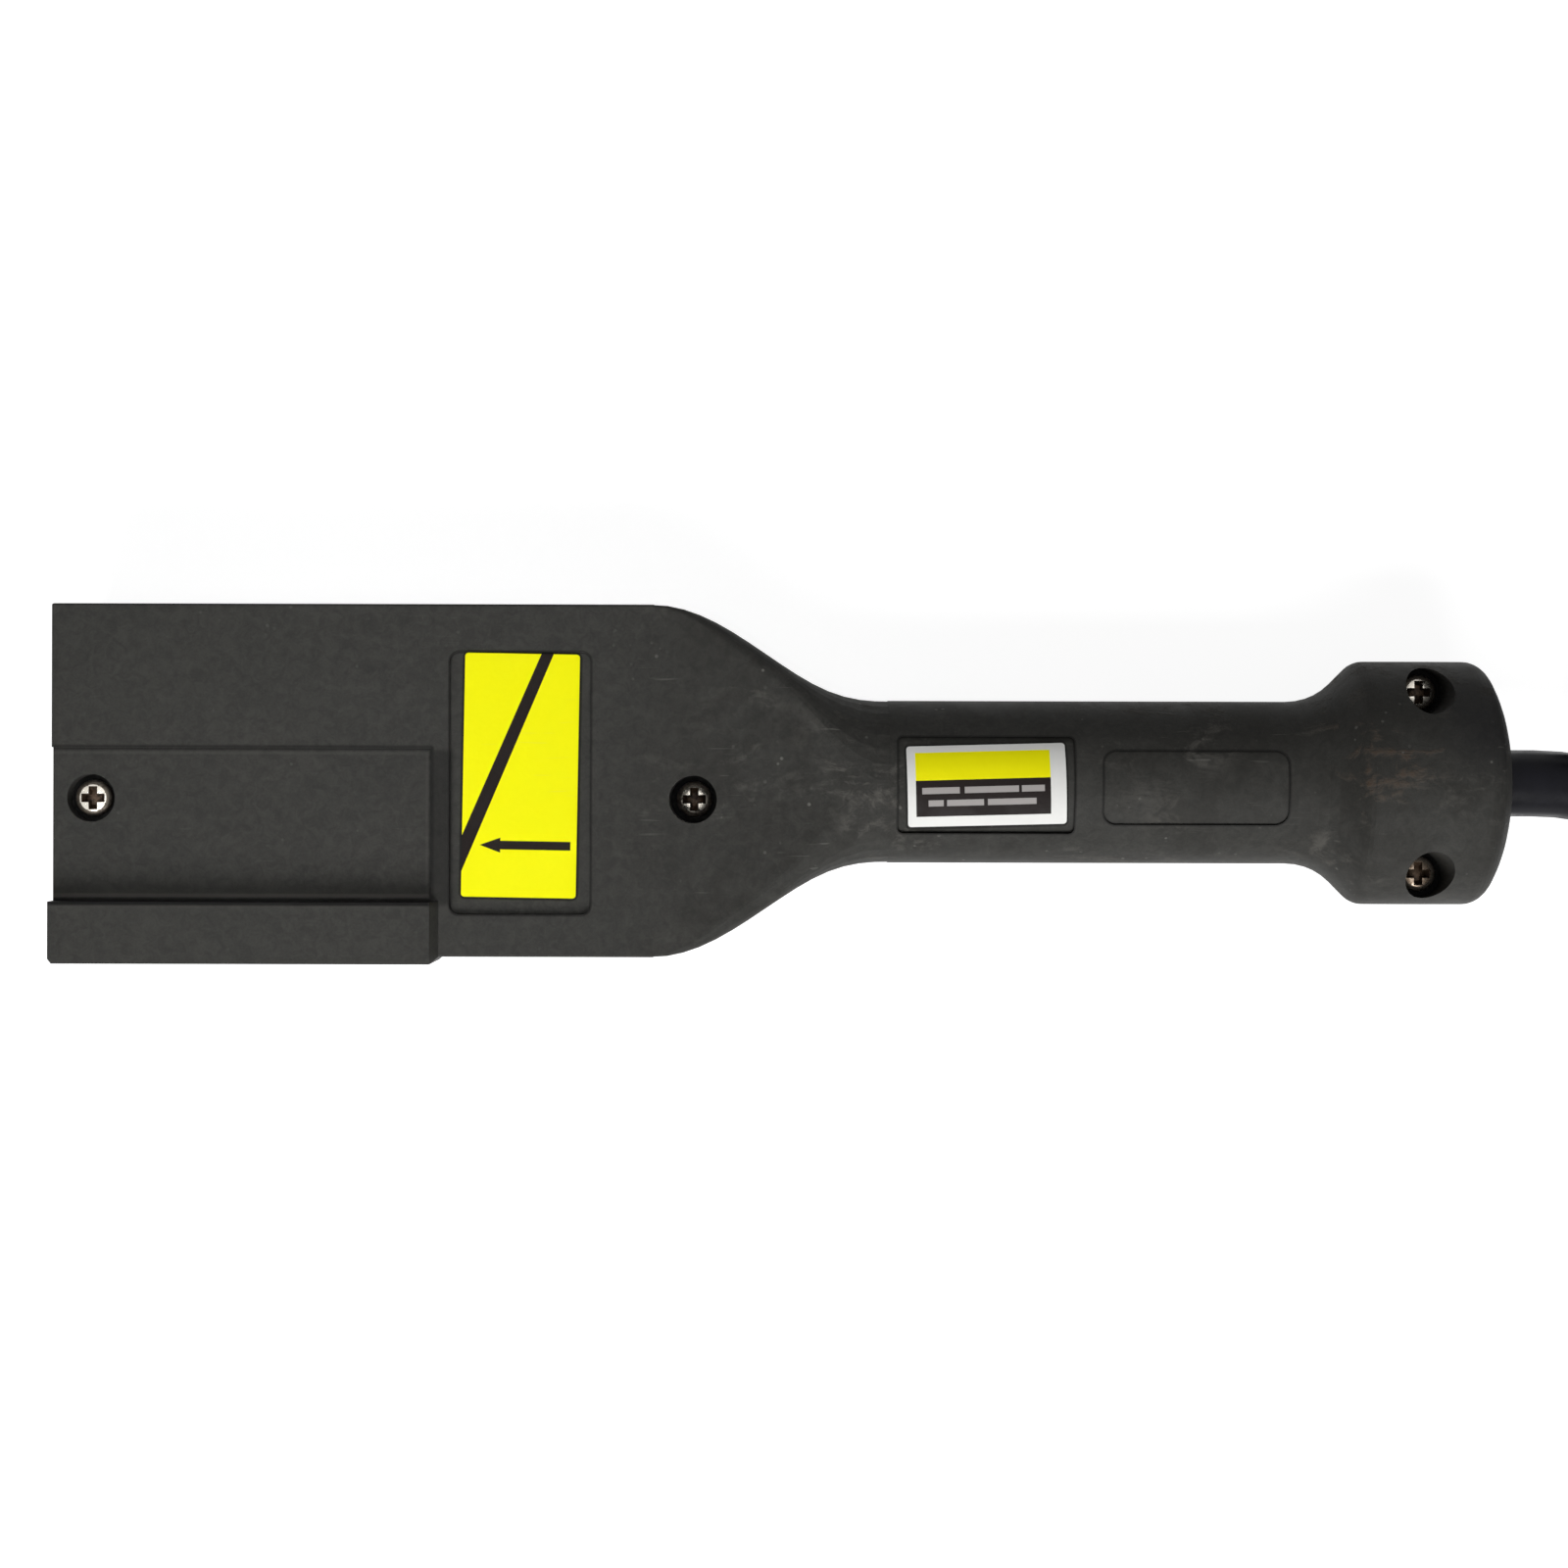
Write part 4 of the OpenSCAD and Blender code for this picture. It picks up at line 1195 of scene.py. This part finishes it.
@dataclass
class CoiledCord:
    """The jacketed cord: out of the handle, into a tied hank, and to its far end.

    The hank is two tracks wide and three layers high. The cord takes the places
    in order, and moves from one to the next along the far run. The tail's points
    are how far they are beyond the last run, and how high. All sizes are in
    millimetres, but for the length in metres.
    """

    diameter: float = 12.2
    length: float = 2.6
    exit_x: float = 131.2
    exit_z: float = 22.25
    turn_in_radius: float = 49.0
    run: float = 104.0
    first_x: float = 205.2
    middle_y: float = 22.0
    floor_gap: float = 1.0
    tail: tuple[Pair, ...] = ((15.0, 7.1), (27.0, 7.0), (39.0, 7.0), (53.0, 7.0))
    order: tuple[tuple[int, int], ...] = ((1, 1), (1, 2), (0, 2), (0, 1), (0, 0), (1, 0))
    lag: float = 0.28
    point_gap: float = 5.5
    tail_gap: float = 7.0
    bend_steps: int = 8
    run_steps: int = 10
    shift_steps: int = 24

    def level(self, layer: float) -> float:
        """Return the height of a layer's centreline."""
        return self.floor_gap + self.diameter * (0.5 + layer)

    def radius(self, track: float) -> float:
        """Return the fold radius of a track, 0 inside and 1 outside."""
        return self.diameter * (3 + track)

    def end_x(self) -> float:
        """Return where the runs end."""
        return self.first_x + self.run

    def end_y(self) -> float:
        """Return the line on which the cord leaves the hank."""
        return self.middle_y - self.radius(self.order[-1][0])

    def fold(self, centre_x: float, slot: tuple[int, int], start: float, end: float
             ) -> list[Vector]:
        """Return a fold's points.

        Args:
            centre_x: where the fold's centre is.
            slot: the track and the layer.
            start: the first angle, in degrees.
            end: the last angle.

        Returns:
            Points without the first.
        """
        r, z = self.radius(slot[0]), self.level(slot[1])
        steps = max(3, round(math.radians(end - start) * r / self.point_gap))
        angles = [math.radians(start + (end - start) * k / steps) for k in range(1, steps + 1)]
        return [mm(centre_x + r * math.cos(a), self.middle_y + r * math.sin(a), z)
                for a in angles]

    def way_in(self) -> tuple[list[Vector], float]:
        """Lead the cord straight out of the handle and round into its first place.

        Returns:
            The points, and the angle of the first fold that they reach.
        """
        fold_r, bend_r = self.radius(self.order[0][0]), self.turn_in_radius
        turn = math.acos((bend_r + self.middle_y) / (bend_r + fold_r))
        bend_x = self.first_x - (bend_r + fold_r) * math.sin(turn)
        points = [(self.exit_x, 0.0), ((self.exit_x + bend_x) / 2, 0.0)]
        for k in range(self.bend_steps + 1):
            a = turn * k / self.bend_steps
            points.append((bend_x + bend_r * math.sin(a), bend_r * (math.cos(a) - 1)))
        end_x, end_z = points[-1][0], self.level(self.order[0][1])
        drop = [smooth_step((x - self.exit_x) / (end_x - self.exit_x)) for x, _ in points]
        rise = end_z - self.exit_z
        return ([mm(x, y, self.exit_z + rise * s) for (x, y), s in zip(points, drop)],
                270.0 - math.degrees(turn))

    def shifted_run(self, turn: int) -> list[Vector]:
        """Return the far run's points, on which the cord moves to its next place.

        Args:
            turn: how many turns lie before it.

        Returns:
            Points without the first.
        """
        here, there = self.order[turn], self.order[turn + 1]
        last = len(self.order) - 2
        zone = self.run / (1 + last * self.lag)
        delay = (last - turn) * self.lag * zone
        points = []
        for k in range(1, self.shift_steps + 1):
            way = self.run * k / self.shift_steps
            s = smooth_step((way - delay) / zone)
            track = here[0] + (there[0] - here[0]) * s
            layer = here[1] + (there[1] - here[1]) * s
            points.append(mm(self.first_x + self.run - way, self.middle_y + self.radius(track),
                             self.level(layer)))
        return points

    def route(self) -> list[Vector]:
        """Return the whole centreline, from the handle to the far end."""
        points, start = self.way_in()
        for turn, slot in enumerate(self.order):
            points += self.fold(self.first_x, slot, start, 270.0)
            start = 90.0
            z, r = self.level(slot[1]), self.radius(slot[0])
            points += [mm(self.first_x + self.run * k / self.run_steps, self.middle_y - r, z)
                       for k in range(1, self.run_steps + 1)]
            if turn < len(self.order) - 1:
                points += self.fold(self.end_x(), slot, -90.0, 90.0)
                points += self.shifted_run(turn)
        knots = [points[-1]] + [mm(self.end_x() + x, self.end_y(), z) for x, z in self.tail]
        points += even_points(knots, self.tail_gap * MM)[1:]
        return points

    def build(self, finishes: Finishes) -> Piece:
        """Lay the cord.

        Args:
            finishes: every finish.

        Returns:
            The piece.
        """
        lead = Lead("coiled_cord", self.route(), self.diameter * MM, Slot.JACKET,
                    ("cord", "cord_hank", "cord_tail"))
        return lead.build(finishes)

    def declare(self, piece: Piece, pieces: list[object]) -> None:
        """Args:
            piece: the cord; not used.
            pieces: the terminals, sleeve, ties and conductors on it; not used.
        """


# ---------------------------------------------------------------- view and light


def white_to_eye(sheet: Sheet, plain: Socket, white: Socket, kind: str) -> None:
    """Show one shader to the camera, mirrors and glass, and light with the other.

    Args:
        sheet: the sheet of the material or the world.
        plain: the shader that lights.
        white: the shader that is seen.
        kind: the kind of the output node.
    """
    seen = sheet.add("LightPath").outputs
    rays = sheet.math("MAXIMUM", seen["Is Glossy Ray"], seen["Is Transmission Ray"])
    rays = sheet.math("MAXIMUM", seen["Is Camera Ray"], rays)
    mixed = sheet.add("MixShader")
    for source, target in zip((rays, plain, white), mixed.inputs):
        sheet.feed(source, target)
    sheet.feed(mixed.outputs[0], sheet.add(kind).inputs[0])


@dataclass
class Studio:
    """Camera, floor and soft light, in metres."""

    seen_width: float = 0.288
    seen_level: float = 0.02225
    distance: float = 0.522
    centre: Spot = (0.000225, -0.00048)
    roll: float = 0.15
    sensor: float = 36.0
    floor_size: float = 6.0
    floor_level: float = -0.0001
    floor_tone: Tone = (0.42, 0.42, 0.42, 1.0)
    floor_glow: float = 0.9
    soft_light: float = 0.11
    paddle_spread: float = 17.0

    def camera(self) -> None:
        """Set the camera straight above the handle."""
        data = bpy.data.cameras.new("Overhead")
        data.sensor_width = self.sensor
        data.lens = self.sensor * self.distance / self.seen_width
        data.clip_start, data.clip_end = 0.01, 20.0
        camera = link_object("Overhead", data)
        camera.location = (*self.centre, self.seen_level + self.distance)
        camera.rotation_euler = (0.0, 0.0, math.radians(self.roll))
        bpy.context.scene.camera = camera

    def backdrop(self) -> Material:
        """Return white that stays white to the camera and keeps the shadow."""
        material = bpy.data.materials.new("Pale floor")
        sheet = Sheet(blank_tree(material))
        paint = sheet.add("BsdfDiffuse", Color=self.floor_tone).outputs[0]
        both = sheet.add("AddShader")
        sheet.feed(paint, both.inputs[0])
        sheet.feed(sheet.add("Emission", Strength=self.floor_glow).outputs[0], both.inputs[1])
        white_to_eye(sheet, paint, both.outputs[0], "OutputMaterial")
        return material

    def floor(self) -> None:
        """Lay the pale floor under the part."""
        mesh = bmesh.new()
        bmesh.ops.create_grid(mesh, x_segments=1, y_segments=1, size=self.floor_size / 2)
        bmesh.ops.translate(mesh, verts=mesh.verts, vec=(0.0, 0.0, self.floor_level))
        data = bpy.data.meshes.new("Floor")
        mesh.to_mesh(data)
        mesh.free()
        data.materials.append(self.backdrop())
        link_object("Floor", data)

    def lamp(self, name: str, place: Spot3, size: float, power: float) -> Piece:
        """Hang one soft lamp that faces the handle.

        Args:
            name: the lamp's name.
            place: where it hangs.
            size: its side.
            power: its power, in watts.

        Returns:
            The lamp.
        """
        data = bpy.data.lights.new(name, "AREA")
        data.shape = "SQUARE"
        data.size = size
        data.energy = power
        lamp = link_object(name, data)
        lamp.location = place
        lamp.rotation_euler = (-Vector(place)).to_track_quat("-Z", "Y").to_euler()
        lamp.visible_camera = False
        return lamp

    def world(self) -> None:
        """Set a pale surrounding that lights softly and is seen white."""
        world = bpy.data.worlds.new("Studio")
        sheet = Sheet(blank_tree(world))
        soft, white = (sheet.add("Background", Color=(1.0, 1.0, 1.0, 1.0), Strength=strength)
                       for strength in (self.soft_light, 1.0))
        white_to_eye(sheet, soft.outputs[0], white.outputs[0], "OutputWorld")
        bpy.context.scene.world = world

    def build(self) -> None:
        """Set everything but the camera."""
        self.floor()
        self.world()
        self.lamp("Key from the near side", place=(0.0, -0.84, 0.8), size=0.75, power=13.6)
        self.lamp("Top fill", place=(0.1, 0.1, 1.1), size=0.9, power=0.8)
        paddle = self.lamp("Paddle fill", place=(-0.085, -0.02, 0.85), size=0.12, power=0.013)
        paddle.rotation_euler = (0.0, 0.0, 0.0)
        paddle.data.spread = math.radians(self.paddle_spread)
        bpy.context.scene.view_settings.view_transform = "Standard"


# -------------------------------------------------------------- the whole part


@dataclass(frozen=True)
class HandleDress:
    """The printed labels and the screws on the moulded handle, in millimetres."""

    stripe: tuple[Spot, ...] = ((3.6, 22.4), (5.8, 22.4), (-10.9, -18.8), (-10.9, -12.3))
    arrow_tip: tuple[Spot, ...] = ((-7.1, -12.55), (-3.4, -13.9), (-3.4, -11.2))
    arrow_shaft: tuple[float, ...] = (-3.4, -13.3, 9.2, -11.75)
    pale_panel: tuple[float, ...] = (-12.7, 1.2, 11.4, 6.3)
    dark_panel: tuple[float, ...] = (-12.7, -5.5, 11.4, 1.2)
    lines: tuple[tuple[Spot, tuple[Spot, ...]], ...] = (
        ((-1.25, -0.1), ((-11.6, -4.9), (-4.0, 5.7), (6.2, 10.3))),
        ((-3.55, -2.4), ((-10.5, -7.8), (-7.2, -0.6), (0.1, 8.8))))
    screws: tuple[CrossHeadScrew, ...] = (
        CrossHeadScrew("nose_screw"), CrossHeadScrew("neck_screw"),
        CrossHeadScrew("left_clamp_screw"), CrossHeadScrew("right_clamp_screw", Extra.TARNISHED_AND_SHADED))

    def labels(self) -> tuple[PrintedLabel, ...]:
        """Return the yellow label on the paddle and the white one round the grip."""
        black, yellow, grey = Extra.BLACK_INK, Extra.YELLOW_INK, Extra.GREY_INK
        bars = [bar(x0, y0, x1, y1, grey) for (y0, y1), row in self.lines for x0, x1 in row]
        return (
            PrintedLabel("engagement_label", Slot.YELLOW, (20.6, 43.8), (-47.1, 0.9), turn=-0.9,
                         under=33.75, inks=(black,),
                         fields=(PrintField(self.stripe, black), bar(*self.arrow_shaft, black),
                                 PrintField(self.arrow_tip, black))),
            PrintedLabel("plate_label", Slot.WHITE, (28.4, 15.2), (36.5, -0.68), turn=1.7,
                         under=14.15, inks=(black, yellow, grey), axis_z=22.25,
                         fields=(bar(*self.pale_panel, yellow), bar(*self.dark_panel, black),
                                 *bars)))

    def build(self, finishes: Finishes) -> None:
        """Lay the labels and set the screws, with every finish at hand."""
        for piece in (*self.labels(), *self.screws):
            piece.build(finishes)


@dataclass(frozen=True)
class CordSet:
    """The cord with its ties, its sleeve and the conductors beyond it, in millimetres.

    A far conductor has its CAD node, its thickness, its slot and the points that
    it passes, whose x is counted from the sleeve's start.
    """

    coil: CoiledCord = field(default_factory=CoiledCord)
    sleeve_after: float = 37.0
    sleeve_z: float = 7.0
    lead_gap: float = 3.0
    fittings: tuple[str, ...] = ("positive_ring", "negative_ring", "sense_tab")
    far_leads: tuple[tuple[str, float, Slot, tuple[Spot3, ...]], ...] = (
        ("far_positive_lead", 4.8, Slot.WHITE_WIRE, (
            (32, -24, 7.9), (40, -22.8, 7.4), (50, -18.8, 5.2), (60, -14, 3.4),
            (70, -9.6, 2.6), (81, -5.8, 2.8), (92, -4, 3.4), (98, -4, 3.4))),
        ("far_negative_lead", 4.8, Slot.BLACK_WIRE, (
            (32, -29.6, 7.9), (40, -29.8, 7.2), (49, -29.4, 5), (59, -28, 3.2),
            (70, -26.4, 2.5), (81, -25.2, 2.8), (92, -25, 3.4), (98, -25, 3.4))),
        ("far_sense_lead", 2.8, Slot.GREEN_WIRE, (
            (32, -26.8, 3.4), (40, -26, 2.4), (49, -24, 1.5), (59, -20.8, 1.4),
            (70, -17.4, 1.4), (81, -15.2, 1.7), (90, -14.5, 2.2), (95, -14.5, 2.2))))

    def ties(self) -> list[StrapTie]:
        """Return the straps round the near and the far run."""
        coil, ties = self.coil, []
        inner, outer = coil.radius(-0.5), coil.radius(1.5)
        top = coil.floor_gap + 3 * coil.diameter
        for side in (-1, 1):
            near = coil.middle_y + (-outer if side < 0 else inner)
            ties.append(StrapTie(side, (near, coil.floor_gap), (near + outer - inner, top),
                                 coil.first_x + coil.run / 2))
        return ties

    def leads(self, start: float) -> list[Lead]:
        """Return the conductors beyond the sleeve.

        Args:
            start: where the sleeve starts.

        Returns:
            The three conductors.
        """
        leads = []
        for node, wide, slot, knots in self.far_leads:
            points = even_points([mm(start + x, y, z) for x, y, z in knots], self.lead_gap * MM)
            leads.append(Lead(node + "_insulation", points, wide * MM, slot, (node,)))
        return leads

    def build(self, finishes: Finishes) -> None:
        """Args:
            finishes: every finish.
        """
        cord = self.coil.build(finishes)
        start = self.coil.end_x() + self.sleeve_after
        sleeve = ShrunkSleeve((start, self.coil.end_y(), self.sleeve_z))
        dressed = [piece.build(finishes) for piece in (*self.ties(), sleeve, *self.leads(start))]
        self.coil.declare(cord, [*self.fittings, *dressed])


def main() -> None:
    """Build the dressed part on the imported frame."""
    logging.basicConfig(level=logging.INFO, format="%(message)s")
    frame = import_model()
    studio = Studio()
    studio.camera()
    finishes = build_finishes(Effects())
    for part in frame["record"]["subparts"]:
        node = frame["nodes"][part["node"]]
        node.data.materials.clear()
        node.data.materials.append(finishes[Slot(part["material_slot"])])

    HandleDress().build(finishes)
    CordSet().build(finishes)
    studio.build()


if __name__ == "__main__":
    main()
